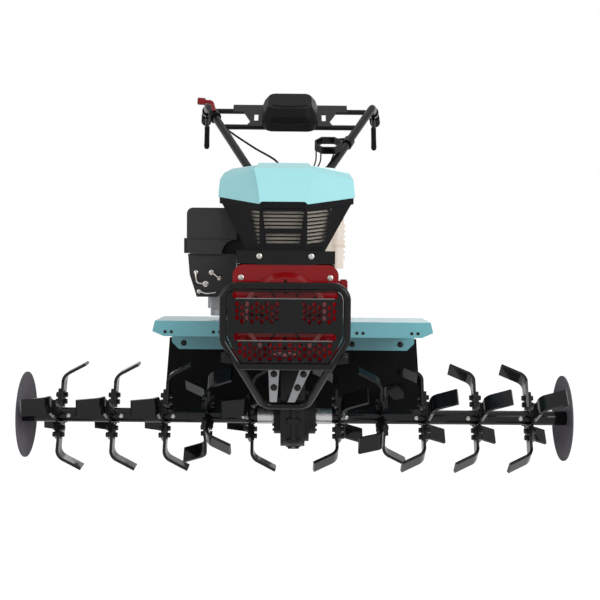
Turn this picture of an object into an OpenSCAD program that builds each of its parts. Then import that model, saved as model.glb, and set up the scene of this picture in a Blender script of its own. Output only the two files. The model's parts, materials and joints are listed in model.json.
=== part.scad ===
// Walk-behind power weeder on two rows of bolted tines.
// Front is -Y, up is +Z. Sizes are millimetres. Modules are drawn about the axle's centre.

/* [Rotor] */
// Radius of the output shaft
shaft_r = 14; // [12:0.5:15]
// Outer radius of the rotor tubes
tube_r = 17.5; // [17:0.5:20]
// Gap between a shaft and the tube around it
slip_gap = 0.3; // [0.2:0.1:0.5]
// Thickness of the tine flanges
flange_t = 6; // [4:0.5:8]
// Reach of a flange's ears from the axle
flange_reach = 60; // [52:1:64]
// Width of a flange's ears
flange_w = 38; // [32:1:44]
// Thickness of a tine
tine_t = 7; // [5:0.5:8]
// Width of a tine
tine_w = 40; // [34:1:44]
// Distance from the axle to the bend of a tine
tine_bend_at = 84; // [80:1:90]
// Bend radius of a tine, at its middle
tine_bend_r = 26; // [20:1:30]
// Angle that a tine is bent sideways
tine_bend_deg = 62; // [50:1:70]
// Length of a tine's foot after the bend
tine_foot = 48; // [40:1:50]
// Obliqueness of the bend line on the left rotor
sweep_left = -28; // [-30:1:-10]
// Obliqueness of the bend line on the right rotor
sweep_right = 15; // [10:1:30]
// Radius of the side discs
disc_r = 103; // [90:1:115]
// Thickness of the side discs
disc_t = 3; // [2:0.5:4]
// Depth of the side discs' dish
disc_dish = 9; // [4:1:14]
// Distance from the middle to a side disc
disc_x = 661; // [620:1:680]

/* [Drive case] */
// Half width of the leg of the drive case
leg_half_w = 34; // [28:1:36]
// Radius of the round bottom of the drive case
case_r = 72; // [66:1:74]
// Half width of the drive case over its bearing caps
case_half_w = 50; // [46:1:58]
// Running clearance of the shaft in the drive case
run_gap = 0.08; // [0.05:0.01:0.1]

/* [Engine and frame] */
// Sideways place of the engine and handlebar
body_x = -22; // [-30:1:0]
// Height of the engine's foot over the axle
engine_z = 165; // [160:1:172]
// Height of the crankshaft over the engine's foot
crank_h = 100; // [94:1:106]
// Place of the front of the fan shroud
shroud_y = -288; // [-292:1:-280]
// Width of the bumper over its tubes
bumper_w = 276; // [262:1:286]
// Height of the bumper's top over the axle
bumper_top = 335; // [326:1:340]
// Radius of the bumper tubes
bumper_r = 8; // [7:0.5:10]
// Place of the bumper's front plane
bumper_y = -360; // [-372:1:-352]
// Thickness of the pressed grille sheet
grille_t = 3; // [2:0.5:4]

/* [Hood] */
// Width of the hood at its widest
hood_w = 304; // [290:1:312]
// Height of the hood's top over the axle
hood_top = 593; // [590:1:612]
// Wall of the hood
hood_wall = 4; // [3:0.5:6]
// Place of the hood's front edge
hood_y = -292; // [-300:1:-288]
// Length of the hood
hood_len = 372; // [360:1:380]

/* [Fender] */
// Half width of the fender
fender_half_w = 318; // [310:1:330]
// Sideways place of the fender
fender_x = -6; // [-12:1:0]
// Height of the fender's top over the axle
fender_z = 241; // [232:1:250]
// Fender's reach to the front and rear of the axle
fender_reach = 172; // [168:1:180]
// Sheet thickness of the fender
fender_t = 3; // [2:0.5:4]
// Drop of the fender's front lip
lip_h = 35; // [28:1:42]
// Drop of the fender's rear plate
rear_h = 95; // [86:1:100]
// Thickness of the rubber flap
flap_t = 5; // [4:0.5:8]
// Height of the flap's lower edge over the axle
flap_low = -14; // [-30:1:0]

/* [Handlebar] */
// Radius of the handlebar tubes
handle_r = 12; // [11:0.5:14]
// Half width of the handlebar at its bends
handle_half_w = 257; // [250:1:280]
// Half width of the handlebar at its foot
handle_foot_w = 80; // [72:1:88]
// Height of the bends over the axle
handle_z = 851; // [840:1:866]
// Height of the handlebar's pivot over the axle
pivot_z = 551; // [542:1:560]
// Distance of the pivot behind the axle
pivot_y = 400; // [390:1:410]
// Distance of the bends behind the axle
bend_y = 800; // [780:1:820]
// Length of a grip stretch behind the bend
grip_len = 300; // [280:1:320]
// Drop of a grip over its length
grip_drop = 12; // [0:1:30]
// Spread of a grip over its length
grip_flare = 30; // [10:1:40]
// Radius of the cross tubes
cross_r = 8; // [7:0.5:10]
// Radius of the pivot bolt
pivot_r = 8; // [7:0.5:9]
// Radius of the rubber grips
grip_r = 16; // [14:0.5:18]
// Width of the console
console_w = 170; // [150:1:190]
// Length of the console up the slope of the handlebar
console_len = 136; // [124:1:146]
// Depth of the console over its plate
console_d = 66; // [54:1:76]

/* [Drag stake] */
// Side of the square drag stake
stake_w = 25; // [20:1:30]
// Distance of the stake behind the axle
stake_y = 318; // [310:1:330]
// Length of the stake
stake_len = 400; // [380:1:410]
// Gap between the stake and its sleeve
stake_gap = 0.4; // [0.3:0.1:0.6]
// Radius of the hitch pin holes
hitch_pin_r = 8; // [6:0.5:10]

/* [Hidden] */
$fn = 48;
bar_lap = 1;
bend_swell = 0.1;
weld_in = 0.4;
eps = 0.01;
TEAL = [0.43, 0.76, 0.76];
BLACK = [0.09, 0.09, 0.1];
DARK = [0.16, 0.16, 0.17];
RED = [0.62, 0.06, 0.08];
STEEL = [0.7, 0.7, 0.72];
CREAM = [0.82, 0.79, 0.74];

// Row of hubs on one side: distance from the middle, turn of its tines on the left and on the right,
// and the way each of its four tines is bent: 1 to the middle, -1 to the outside.
HUB_X = 0;
HUB_TURN_LEFT = 1;
HUB_TURN_RIGHT = 2;
HUB_BENDS = 3;
INNER_HUBS = [
    [108, 0, 0, [1, -1, 1, -1]],
    [212, 45, 53.5, [1, 1, -1, -1]],
    [317, 0, 0, [1, -1, 1, -1]],
];
OUTER_HUBS = [
    [444, 0, 0, [1, -1, 1, -1]],
    [572, 0, 0, [1, -1, 1, -1]],
];
inner_tube = [90, 372];
stub_in = 40;
rest_half_step = 22.5;

// Outer corner of a tine's foot as [along the turn, away from the axle]
function foot_run() = tine_bend_r * sin(tine_bend_deg) + tine_foot * cos(tine_bend_deg)
    + tine_t / 2 * sin(tine_bend_deg);
function foot_corner(sweep) = [
    -foot_run() * sin(sweep) + sign(sweep) * tine_w / 2 * cos(sweep),
    tine_bend_at + foot_run() * cos(sweep) + tine_w / 2 * abs(sin(sweep))
];
function foot_lead(sweep) = atan2(foot_corner(sweep)[0], foot_corner(sweep)[1]);
// Turn of the first tine, so that the tips stand evenly to the front and rear of the axle
function hub_phase(sweep) = -rest_half_step - foot_lead(sweep);

axle_z = max(norm(foot_corner(sweep_left)), norm(foot_corner(sweep_right))) * cos(rest_half_step);
front_reach = -bumper_y;
grip_run = [grip_flare, grip_len, -grip_drop];
rear_reach = bend_y + grip_len + grip_r * sqrt(1 - pow(grip_len / norm(grip_run), 2));
axle_y = (front_reach - rear_reach) / 2;
crank_z = engine_z + crank_h;
stake_bottom = -axle_z;
seat_gap = 0.3;
root_w = flange_w - 6;
base_t = 14;
base_half_w = 84;
rail_x = 55;
rail_w = 28;
box_z = 150;
box_top = 262;
box_front = -30;
box_rear = 150;
box_half_w = 75;
box_corner = 14;
seam_x = -8;
seam_w = 10;
boss_r = 8;
clutch_r = 73;
cap_r = 42;
block_half_w = 72;
block_front = -208;
block_h = 170;
shroud_w = 228;
shroud_h = 206;
shroud_corner = 24;
shroud_rim = 22;
recoil_r = 90;
recoil_d = 40;
filter_x = -167;
filter_y = -188;
filter_z = 392;
filter_w = 112;
filter_h = 104;
filter_d = 140;
elbow_low = 296;
neck_x = -86;
elbow_d = 34;
carb_x = -150;
carb_w = 58;
carb_d = 60;
bowl_h = 48;
muffler_x = 78;
muffler_y = -122;
muffler_z = 362;
muffler_w = 102;
muffler_d = 134;
muffler_h = 114;
pipe_x = 50;
pipe_r = 18;
cap_y = -180;
cap_z = 324;
cap_neck_r = 9;
hood_half_w = hood_w / 2;
nose_half_w = 48;
nose_x = -6;
nose_len = 92;
nose_low = hood_top - 87;
side_low = hood_top - 73;
panel_out = 5;
bracket_top = 401;
bracket_h = 28;
bracket_d = 34;
bracket_half_w = 106;
bracket_tab = 72;
grille_in = 3;
grille_foot = 85;
lip_band = 14;
slot_rows = 9;
slot_bar = 5;
slot_pitch = 8;
slot_h = 4.6;
slot_top = nose_low - 25;
slot_half_w = 44;
slot_slant = 8;
wing_slot = 54;
wing_slot_left = 24;
slot_step = 1.8;
tank_left = -84;
tank_right = 101;
tank_gap = 16;
tank_d = 66;
tank_h = 92;
bumper_bend = 30;
ear_x = 96;
lean_z = 211;
bar_z = engine_z - base_t / 2;
ear_t = 6;
ear_h = 32;
slot_wide = 16;
low_slot_z = 220;
hole_r = 4.6;
hole_pitch = 12;
hole_step = 8.6;
skid_low_w = 49;
skid_y = -222;
skid_z = 57;
lip_corner = 26;
lip_slant = 6;
fold_y = 0;
fender_fall = 26;
rear_corner = 18;
flap_top = fender_z - rear_h + 30;
flap_flare = 14;
hitch_half_w = 34;
hitch_z = 120;
hitch_h = 70;
hitch_end = 384;
cheek_plate = 9;
sleeve_w = 50;
pin_y = 362;
pin_z = hitch_z + hitch_h / 2;
screw_r = 5;
screw_z = hitch_z + hitch_h + 9;
chisel_h = 40;
hole_row = 40;
column_y = 118;
column_r = 24;
foot_t = 10;
handle_rise = [0, bend_y - pivot_y, handle_z - pivot_z];
normal_to_handle = [0, -handle_rise[2], handle_rise[1]] / norm(handle_rise);
handle_bend = 45;
head_half_w = 30;
head_r = 28;
cheek_t = 10;
cheek_gap = 0.6;
foot_off = 52;
arm_foot = 44;
knee_at = 0.15;
cross_low_at = 0.72;
cross_top_at = 0.93;
plate_t = 4;
plate_foot = 132;
lever_r = 6;
lever_drop = 36;
lever_end = 100;
throttle_at = 0.84;
gate_at = 0.5;
gate_w = 79;
gate_d = 60;
gate_h = 22;
gate_wall = 5;
gate_x = 113;
gate_y = 566;
gate_z = 700;

function unit(v) = v / norm(v);
function mid(a, b, t) = a + (b - a) * t;

// Round bar from point a to point b
module rod(a, b, r) {
    d = b - a;
    length = norm(d);
    translate(a)
        rotate([0, acos(d[2] / length), atan2(d[1], d[0])])
            cylinder(h = length, r = r);
}

// Length that an elbow takes off a bar at corner i of a path
function elbow_run(path, i, bend) =
    i == 0 || i == len(path) - 1 ? 0 :
    bend * tan((180 - acos(unit(path[i - 1] - path[i]) * unit(path[i + 1] - path[i]))) / 2);

// Two directions square to d, then d itself
function axes_along(d) =
    let (ex = unit(cross(abs(d[2]) > 0.9 ? [0, 1, 0] : [0, 0, 1], d)))
    [ex, cross(d, ex), d];

// Axes after a turn about the old Z by roll and then about the new Y by turn
function turned(axes, roll, turn) =
    let (
        ex = axes[0] * cos(roll) + axes[1] * sin(roll),
        ey = axes[1] * cos(roll) - axes[0] * sin(roll)
    )
    [ex * cos(turn) - axes[2] * sin(turn), ey, ex * sin(turn) + axes[2] * cos(turn)];

// Bar i of a path along its own Z, then the elbow and the bars that follow it. The bend swells
// an elbow a little, so each bar ends inside the elbow's wider end.
module bars_from(path, i, axes, r, bend) {
    length = norm(path[i + 1] - path[i]) - elbow_run(path, i, bend) - elbow_run(path, i + 1, bend);
    last = i + 2 == len(path);
    start = i == 0 ? 0 : bar_lap;
    translate([0, 0, -start])
        cylinder(h = length + start + (last ? 0 : bar_lap), r = r);
    if (!last) {
        next = unit(path[i + 2] - path[i + 1]);
        roll = atan2(axes[1] * next, axes[0] * next);
        turn = acos(axes[2] * next);
        translate([0, 0, length])
            rotate([0, 0, roll])
                translate([bend, 0, 0]) {
                    rotate([90, 0, 180])
                        rotate_extrude(angle = turn) translate([bend, 0]) circle(r + bend_swell);
                    rotate([0, turn, 0])
                        translate([-bend, 0, 0])
                            bars_from(path, i + 1, turned(axes, roll, turn), r, bend);
                }
    }
}

// Bar along a path, with round elbows at its corners
module bent_rod(path, r, bend) {
    axes = axes_along(unit(path[1] - path[0]));
    multmatrix([
        [axes[0][0], axes[1][0], axes[2][0], path[0][0]],
        [axes[0][1], axes[1][1], axes[2][1], path[0][1]],
        [axes[0][2], axes[1][2], axes[2][2], path[0][2]],
        [0, 0, 0, 1],
    ])
        bars_from(path, 0, axes, r, bend);
}

module tube(from, to, outer, inner)
    difference() {
        rod(from, to, outer);
        rod(from + (from - to), to + (to - from), inner);
    }

// Plate drawn in the Y-Z plane, standing on x = 0
module plate_x(t) rotate([90, 0, 90]) linear_extrude(t) children();

// Plate drawn in the X-Z plane, from y = 0 to the rear
module plate_y(t) translate([0, t, 0]) rotate([90, 0, 0]) linear_extrude(t) children();

// Pieces are drawn about the axle, or about the engine's middle above it
module on_axle() translate([0, axle_y, axle_z]) children();
module on_body() translate([body_x, axle_y, axle_z]) children();

// Box with its four upright edges rounded
module rounded_box(size, r)
    linear_extrude(size[2]) rounded_rect(size[0], size[1], r);

module rounded_rect(w, d, r)
    union() {
        square([w - 2 * r, d], center = true);
        square([w, d - 2 * r], center = true);
        for (sx = [-1, 1], sy = [-1, 1])
            translate([sx * (w / 2 - r), sy * (d / 2 - r)]) circle(r);
    }

// Tine on its flange, pointing up and bent towards +X
module tine(sweep) {
    across = [-cos(sweep), sin(sweep)] * tine_w / 2;
    bend_line = [0, tine_bend_at];
    lap = [sin(sweep), cos(sweep)] * bar_lap;
    translate([flange_t / 2 - weld_in, 0, 0]) {
        plate_x(tine_t)
            polygon([
                [-root_w / 2, tube_r + 6],
                [root_w / 2, tube_r + 6],
                bend_line - across + lap,
                bend_line + across + lap,
            ]);
        translate([0, 0, tine_bend_at])
            rotate([-sweep, 0, 0])
                translate([tine_t / 2 + tine_bend_r, 0, 0])
                    rotate([90, 180, 0]) {
                        rotate_extrude(angle = -tine_bend_deg)
                            translate([tine_bend_r - tine_t / 2 - bend_swell, -tine_w / 2 - bend_swell])
                                square([tine_t + 2 * bend_swell, tine_w + 2 * bend_swell]);
                        rotate([0, 0, -tine_bend_deg])
                            translate([tine_bend_r - tine_t / 2, -tine_foot, -tine_w / 2])
                                cube([tine_t, tine_foot + bar_lap, tine_w]);
                    }
    }
}

module flange(sweep, turn)
    rotate([hub_phase(sweep) + turn, 0, 0])
        translate([-flange_t / 2, 0, 0])
            plate_x(flange_t)
                difference() {
                    union() {
                        square([2 * flange_reach, flange_w], center = true);
                        square([flange_w, 2 * flange_reach], center = true);
                        circle(flange_w * 0.75);
                    }
                    circle(tube_r - eps);
                }

// Flange with its four tines
module tined_hub(hub, side) {
    sweep = sweep_of(side);
    turn = side > 0 ? hub[HUB_TURN_RIGHT] : hub[HUB_TURN_LEFT];
    translate([hub[HUB_X], 0, 0]) {
        flange(sweep, turn);
        for (i = [0 : 3])
            rotate([hub_phase(sweep) + turn + 90 * i, 0, 0])
                if (hub[HUB_BENDS][i] > 0) mirror([1, 0, 0]) tine(sweep);
                else tine(sweep);
    }
}

// Draws its children on the right, or mirrored on the left
module on_side(side)
    if (side > 0) children();
    else mirror([1, 0, 0]) children();

function sweep_of(side) = side > 0 ? sweep_right : sweep_left;

module rotor_inner(side)
    color(BLACK)
        on_axle() on_side(side) {
            tube([inner_tube[0], 0, 0], [inner_tube[1], 0, 0], tube_r, shaft_r + slip_gap);
            for (hub = INNER_HUBS) tined_hub(hub, side);
        }

module rotor_outer(side)
    color(BLACK)
        on_axle() on_side(side) {
            rod([inner_tube[1], 0, 0], [disc_x - disc_t, 0, 0], tube_r);
            rod([inner_tube[1] - stub_in, 0, 0], [inner_tube[1], 0, 0], shaft_r);
            for (hub = OUTER_HUBS) tined_hub(hub, side);
        }

module side_disc(side)
    color(DARK)
        on_axle() on_side(side)
            translate([disc_x - disc_t, 0, 0])
                rotate([0, 90, 0])
                    rotate_extrude()
                        polygon([
                            [0, 0], [tube_r + 12, 0], [disc_r, -disc_dish],
                            [disc_r, disc_t - disc_dish], [tube_r + 12, disc_t], [0, disc_t],
                        ]);

// Shaft through the drive case, with a collar on each side that carries the rotors
module output_shaft()
    color(STEEL) on_axle() {
        shaft_end = inner_tube[1] - stub_in - slip_gap;
        rod([-shaft_end, 0, 0], [shaft_end, 0, 0], shaft_r);
        for (side = [-1, 1])
            rod([side * (case_half_w + 1), 0, 0], [side * (inner_tube[0] - 0), 0, 0], tube_r + 1.5);
    }

// Leg and round bottom of the cast case, with its bearing caps and the bosses of its bolts
module drive_case()
    color(DARK)
        on_axle() difference() {
            union() {
                translate([-leg_half_w, 0, 0])
                    plate_x(2 * leg_half_w - seam_w) {
                        circle(case_r);
                        polygon([
                            [-case_r + 6, 0], [case_r - 6, 0], [box_rear / 2, box_z], [box_front, box_z],
                        ]);
                    }
                translate([seam_x, 0, 0]) plate_x(seam_w) circle(case_r + 5);
                translate([leg_half_w - seam_w - bar_lap, 0, 0])
                    plate_x(seam_w + bar_lap) circle(case_r - 12);
                rod([-case_half_w, 0, 0], [case_half_w, 0, 0], cap_r);
                for (a = [0 : 45 : 315])
                    rotate([a, 0, 0])
                        rod([seam_x - boss_r, 0, case_r], [seam_x + seam_w + boss_r, 0, case_r], boss_r);
            }
            rod([-case_half_w - 1, 0, 0], [case_half_w + 1, 0, 0], shaft_r + run_gap);
        }

// Gear housing behind the engine, with the round clutch case in front of it
module gearbox()
    color(DARK)
        on_body() {
            translate([0, (box_front + box_rear) / 2, box_z])
                rounded_box([2 * box_half_w, box_rear - box_front, box_top - box_z], box_corner);
            rod([0, box_front, crank_z], [0, (box_front + box_rear) / 2, crank_z], clutch_r);
        }

// Two rails from the bumper to the gear housing, and the plate that the engine stands on
module engine_base()
    color(BLACK)
        on_body() {
            rail_front = bumper_y + 2 * bumper_r + seat_gap;
            plate_front = shroud_y + 20;
            for (side = [-1, 1])
                translate([side * rail_x - rail_w / 2, rail_front, engine_z - base_t])
                    cube([rail_w, box_front - rail_front, base_t]);
            translate([-base_half_w, plate_front, engine_z - base_t])
                cube([2 * base_half_w, box_front - 12 - plate_front, base_t]);
        }

module engine_block()
    color(DARK)
        on_body()
            translate([-block_half_w, block_front, engine_z])
                cube([2 * block_half_w, box_front - block_front, block_h]);

// Fan housing at the front of the engine, with a rim round its front
module fan_shroud()
    color(RED)
        on_body()
            translate([0, shroud_y, engine_z + shroud_h / 2])
                difference() {
                    plate_y(block_front - shroud_y)
                        rounded_rect(shroud_w, shroud_h, shroud_corner);
                    translate([0, shroud_rim, 0])
                        plate_y(4)
                            difference() {
                                square([2 * shroud_w, 2 * shroud_h], center = true);
                                rounded_rect(shroud_w - 8, shroud_h - 8, shroud_corner - 4);
                            }
                }

// Domed cover of the pull starter, with a ring of cooling slots
module recoil_cover()
    color(RED)
        on_body()
            translate([0, shroud_y, crank_z])
                rotate([90, 0, 0])
                    difference() {
                        rotate_extrude()
                            polygon([
                                [0, 0], [recoil_r, 0], [recoil_r, recoil_d * 0.5],
                                [recoil_r - 10, recoil_d * 0.85], [recoil_r * 0.4, recoil_d * 0.9],
                                [recoil_r * 0.34, recoil_d], [0, recoil_d],
                            ]);
                        for (a = [0 : 30 : 330])
                            rotate(a)
                                translate([recoil_r * 0.5, -3, recoil_d * 0.5])
                                    cube([recoil_r * 0.34, 6, recoil_d]);
                    }

// Filter case with its lid and clip, on the elbow that leads to the carburettor
module air_filter()
    color(BLACK)
        on_body() {
            middle = filter_z + filter_h / 2;
            translate([filter_x, filter_y, middle])
                difference() {
                    union() {
                        plate_y(filter_d) rounded_rect(filter_w - 4, filter_h - 4, 12);
                        plate_y(filter_d * 0.4) rounded_rect(filter_w, filter_h, 14);
                    }
                    translate([filter_w / 2, -1, -filter_h / 2])
                        plate_y(filter_d + 2) circle(filter_w * 0.3);
                }
            translate([filter_x - filter_w / 2 - 8, filter_y + 20, filter_z + 2]) cube([10, 26, 34]);
            translate([filter_x + 8, filter_y + 40, filter_z - 10]) cube([neck_x - filter_x - 8, 40, 84]);
            translate([filter_x - filter_w / 2 + 2, filter_y + 8, elbow_low])
                plate_y(elbow_d)
                    polygon([
                        [0, filter_z + 1 - elbow_low], [4, 50], [20, 0], [66, 0], [108, 44],
                        [108, filter_z + 1 - elbow_low],
                    ]);
        }

// Carburettor behind the elbow, with its float bowl and the flange on the engine
module carburettor()
    color(STEEL)
        on_body() {
            y = filter_y + 8 + elbow_d;
            pipe_z = engine_z + block_h - 36;
            translate([carb_x, y + carb_d / 2, pipe_z - 30]) rounded_box([carb_w, carb_d, 64], 10);
            rod([carb_x, y + carb_d / 2, pipe_z - bowl_h], [carb_x, y + carb_d / 2, pipe_z - 29], carb_w * 0.42);
            rod([carb_x, y + carb_d / 2, pipe_z], [-block_half_w, y + carb_d / 2, pipe_z], 24);
            rod([carb_x - carb_w / 2 - 12, y + carb_d / 2, pipe_z + 18], [carb_x, y + carb_d / 2, pipe_z + 18], 5);
        }

// Box of the muffler with its seam, on a short pipe from the engine's head
module muffler()
    color(CREAM)
        on_body() {
            translate([muffler_x, muffler_y, muffler_z]) rounded_box([muffler_w, muffler_d, muffler_h], 20);
            translate([muffler_x, muffler_y, muffler_z + muffler_h * 0.45])
                rounded_box([muffler_w + 6, muffler_d + 6, 4], 22);
            rod([pipe_x, muffler_y, engine_z + block_h], [pipe_x, muffler_y, muffler_z + bar_lap], pipe_r);
        }

// Filler neck with a lobed cap
module oil_cap()
    color(RED)
        on_body() {
            knob = block_half_w + 46;
            rod([block_half_w, cap_y, cap_z], [knob + 2, cap_y, cap_z], cap_neck_r);
            rod([knob, cap_y, cap_z], [knob + 20, cap_y, cap_z], cap_neck_r + 2);
            for (a = [0 : 60 : 300])
                translate([knob + 4, cap_y, cap_z])
                    rotate([a, 0, 0])
                        rod([0, 0, cap_neck_r + 1], [14, 0, cap_neck_r + 1], 4);
        }

// Outline of the hood seen from above: half width of its nose and of its body, and its front edge
module hood_plan(nose, wide, front, inset)
    polygon([
        [nose_x - nose, front + inset], [nose_x + nose, front + inset],
        [wide - inset, front + nose_len + inset / 2], [wide - inset, hood_y + hood_len - inset],
        [inset - wide, hood_y + hood_len - inset], [inset - wide, front + nose_len + inset / 2],
    ]);

module hood_slice(z, nose, wide, front, inset)
    translate([0, 0, z]) linear_extrude(1) hood_plan(nose, wide, front, inset);

// Body of the hood with its wings, drawn in by inset
module hood_wings(inset)
    hull() {
        hood_slice(nose_low - 40, nose_half_w, hood_half_w - 3, hood_y, inset);
        hood_slice(hood_top - 66, nose_half_w + 6, hood_half_w, hood_y + 4, inset);
        hood_slice(hood_top - 34, nose_half_w + 10, hood_half_w - 3, hood_y + 12, inset);
        hood_slice(hood_top - 19, nose_half_w + 12, hood_half_w - 12, hood_y + 22, inset);
        hood_slice(hood_top - 8 - inset, nose_half_w + 14, hood_half_w - 30, hood_y + 40, inset);
    }

// Panel along the hood's middle, which stands proud of the wings and widens to the top
module hood_panel(inset)
    hull() {
        panel_slice(nose_low - 40, nose_half_w - 3, hood_y - panel_out, inset);
        panel_slice(hood_top - 50, nose_half_w + 8, hood_y - panel_out + 4, inset);
        panel_slice(hood_top - 16, nose_half_w + 16, hood_y + 16, inset);
        panel_slice(hood_top - 1 - inset, nose_half_w + 6, hood_y + 54, inset);
    }

module panel_slice(z, half, front, inset)
    translate([nose_x - half + inset, front + inset, z])
        cube([2 * (half - inset), hood_y + hood_len - 30 - front - 2 * inset, 1]);

// Everything below the hood's lower edge: level under the panel, then rising along the wings
module below_hood(drop)
    translate([0, hood_y - 100, -drop])
        plate_y(hood_len + 200)
            polygon([
                [-hood_w, 0], [hood_w, 0], [hood_w, side_low], [hood_half_w, side_low],
                [nose_x + nose_half_w + 4, nose_low - 5], [nose_x + nose_half_w - 2, nose_low],
                [nose_x + 2 - nose_half_w, nose_low], [nose_x - nose_half_w - 4, nose_low - 5],
                [-hood_half_w, side_low], [-hood_w, side_low],
            ]);

module hood()
    color(TEAL)
        on_body()
            difference() {
                union() {
                    hood_wings(0);
                    hood_panel(0);
                }
                translate([0, 0, -eps]) hood_wings(hood_wall);
                below_hood(0);
            }

// Wall that follows the hood's front, between two insets and forward of the wings' rear end
module grille_wall(outer, inner)
    difference() {
        hood_plan(nose_half_w, hood_half_w - 3, hood_y, outer);
        hood_plan(nose_half_w, hood_half_w - 3, hood_y, inner);
        translate([-hood_w, hood_y + nose_len]) square([2 * hood_w, hood_len]);
    }

// Front view of the slots: rows in the middle with one closed row, and slanting rows in the wings
module grille_slots()
    for (row = [0 : slot_rows - 1]) {
        z = slot_top - row * slot_pitch;
        half = slot_half_w - row;
        if (row != slot_bar) translate([nose_x - half, z]) square([2 * half, slot_h]);
        for (side = [-1, 1])
            translate([nose_x + side * (slot_half_w + 8), z])
                rotate(side > 0 ? slot_slant : 180 - slot_slant)
                    translate([0, side > 0 ? 0 : -slot_h])
                        square([(side > 0 ? wing_slot : wing_slot_left) - row * slot_step, slot_h]);
    }

// Black shell under the hood's nose: slotted wall, drawn in to the bracket, and a lip under the hood
module hood_grille()
    color(BLACK)
        on_body() {
            difference() {
                intersection() {
                    translate([0, 0, bracket_top])
                        linear_extrude(side_low - bracket_top)
                            grille_wall(grille_in, grille_in + hood_wall);
                    below_hood(seat_gap);
                    translate([0, hood_y - 10, 0])
                        plate_y(200)
                            polygon([
                                [-grille_foot, bracket_top], [grille_foot, bracket_top],
                                [hood_half_w, side_low], [-hood_half_w, side_low],
                            ]);
                }
                translate([0, hood_y - 10, 0]) plate_y(200) grille_slots();
            }
            intersection() {
                translate([0, 0, bracket_top])
                    linear_extrude(side_low - bracket_top)
                        grille_wall(0, grille_in + hood_wall);
                difference() {
                    below_hood(seat_gap);
                    below_hood(lip_band);
                }
            }
        }

// Fuel tank that follows the inside of the grille
module fuel_tank()
    color(CREAM)
        on_body()
            translate([0, 0, bracket_top])
                linear_extrude(tank_h)
                    intersection() {
                        hood_plan(nose_half_w, hood_half_w - 3, hood_y, tank_gap);
                        translate([tank_left, hood_y]) square([tank_right - tank_left, tank_gap + tank_d]);
                    }

// Bar that carries the grille on top of the fan housing
module grille_bracket()
    color(BLACK)
        on_body()
            translate([0, hood_y + 2, 0])
                plate_y(bracket_d)
                    polygon([
                        [-bracket_half_w, bracket_top], [bracket_half_w, bracket_top],
                        [bracket_half_w, bracket_top - bracket_h], [bracket_tab, bracket_top - bracket_h],
                        [bracket_tab - 14, engine_z + shroud_h], [14 - bracket_tab, engine_z + shroud_h],
                        [-bracket_tab, bracket_top - bracket_h], [-bracket_half_w, bracket_top - bracket_h],
                    ]);

// Bent tube in front of the engine, which leans in below and runs on under the engine. Its two halves
// lap at the middle, and a bar with an ear at each end joins them in front of the engine's base.
module bumper_frame()
    color(BLACK)
        on_body() {
            half = bumper_w / 2 - bumper_r;
            y = bumper_y + bumper_r;
            top = bumper_top - bumper_r;
            rod([-ear_x, y, bar_z], [ear_x, y, bar_z], bumper_r - 0.5);
            for (side = [-1, 1])
                on_side(side) {
                    bent_rod([[-bar_lap, y, top], [half, y, top], [half, y, lean_z], [ear_x, y, bar_z],
                        [skid_low_w, skid_y, skid_z], [-bar_lap, skid_y, skid_z]], bumper_r, bumper_bend);
                    translate([0, y - ear_t / 2, 0])
                        plate_y(ear_t)
                            polygon([
                                [ear_x + 6, bar_z + 4], [bumper_w / 2 - 4, bar_z + 8],
                                [bumper_w / 2 - 4, bar_z + ear_h - 4], [ear_x + 18, bar_z + ear_h],
                            ]);
                }
        }

// Pale plates from the engine's base down to the skid tube
module skid_brackets()
    color(STEEL)
        on_body()
            for (shift = [[-25, -25], [15, 50]])
                translate([0, skid_y - 4, 0])
                    plate_y(8)
                        polygon([
                            [shift[0] - 9, skid_z + bumper_r + seat_gap],
                            [shift[0] + 7, skid_z + bumper_r + seat_gap],
                            [shift[1] + 13, engine_z - base_t], [shift[1] - 13, engine_z - base_t],
                        ]);

// Staggered rows of six-sided holes over a field w wide, downwards from z
module hole_field(x, z, w, rows, taper)
    for (row = [0 : rows - 1]) {
        wide = w - taper * row;
        count = floor(wide / hole_pitch - (row % 2) / 2);
        for (i = [0 : count - 1])
            translate([x + (i - (count - 1) / 2) * hole_pitch, z - row * hole_step])
                circle(hole_r, $fn = 6);
    }

// Slot with round ends
module long_slot(half, z, h) {
    translate([-half, z - h / 2]) square([2 * half, h]);
    for (side = [-1, 1]) translate([side * half, z]) circle(h / 2);
}

// Pressed sheet in the bumper, with long slots and fields of holes
module bumper_grille()
    color(BLACK)
        on_body() {
            half = bumper_w / 2 - 2 * bumper_r - seat_gap;
            top = bumper_top - 2 * bumper_r - seat_gap;
            low = bar_z + bumper_r + seat_gap;
            round_in = bumper_bend - bumper_r;
            lean = atan2(bumper_w / 2 - bumper_r - ear_x, lean_z - bar_z);
            out = (bumper_r + seat_gap) / cos(lean) + 1;
            knee = ear_x + (lean_z - 16 - bar_z) * tan(lean) - out;
            foot = ear_x + (low - bar_z) * tan(lean) - out;
            translate([0, bumper_y + bumper_r - grille_t / 2, 0])
                plate_y(grille_t)
                    difference() {
                        intersection() {
                            translate([0, (top + low) / 2]) rounded_rect(2 * half, top - low, round_in);
                            polygon([
                                [-half, top], [half, top], [half, lean_z + 12], [knee, lean_z - 16],
                                [foot, low], [-foot, low], [-knee, lean_z - 16], [-half, lean_z + 12],
                            ]);
                        }
                        long_slot(half - 18, top - slot_wide * 0.7, slot_wide * 0.85);
                        long_slot(half - 22, low_slot_z, slot_wide);
                        hole_field(-half / 2 - 3, top - slot_wide * 2, half - 16, 5, 0);
                        hole_field(half / 2 + 15, top - slot_wide * 2, half - 38, 5, 0);
                        hole_field(0, low_slot_z - 21, 2 * half - 48, 4, 2 * hole_pitch);
                    }
        }

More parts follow.
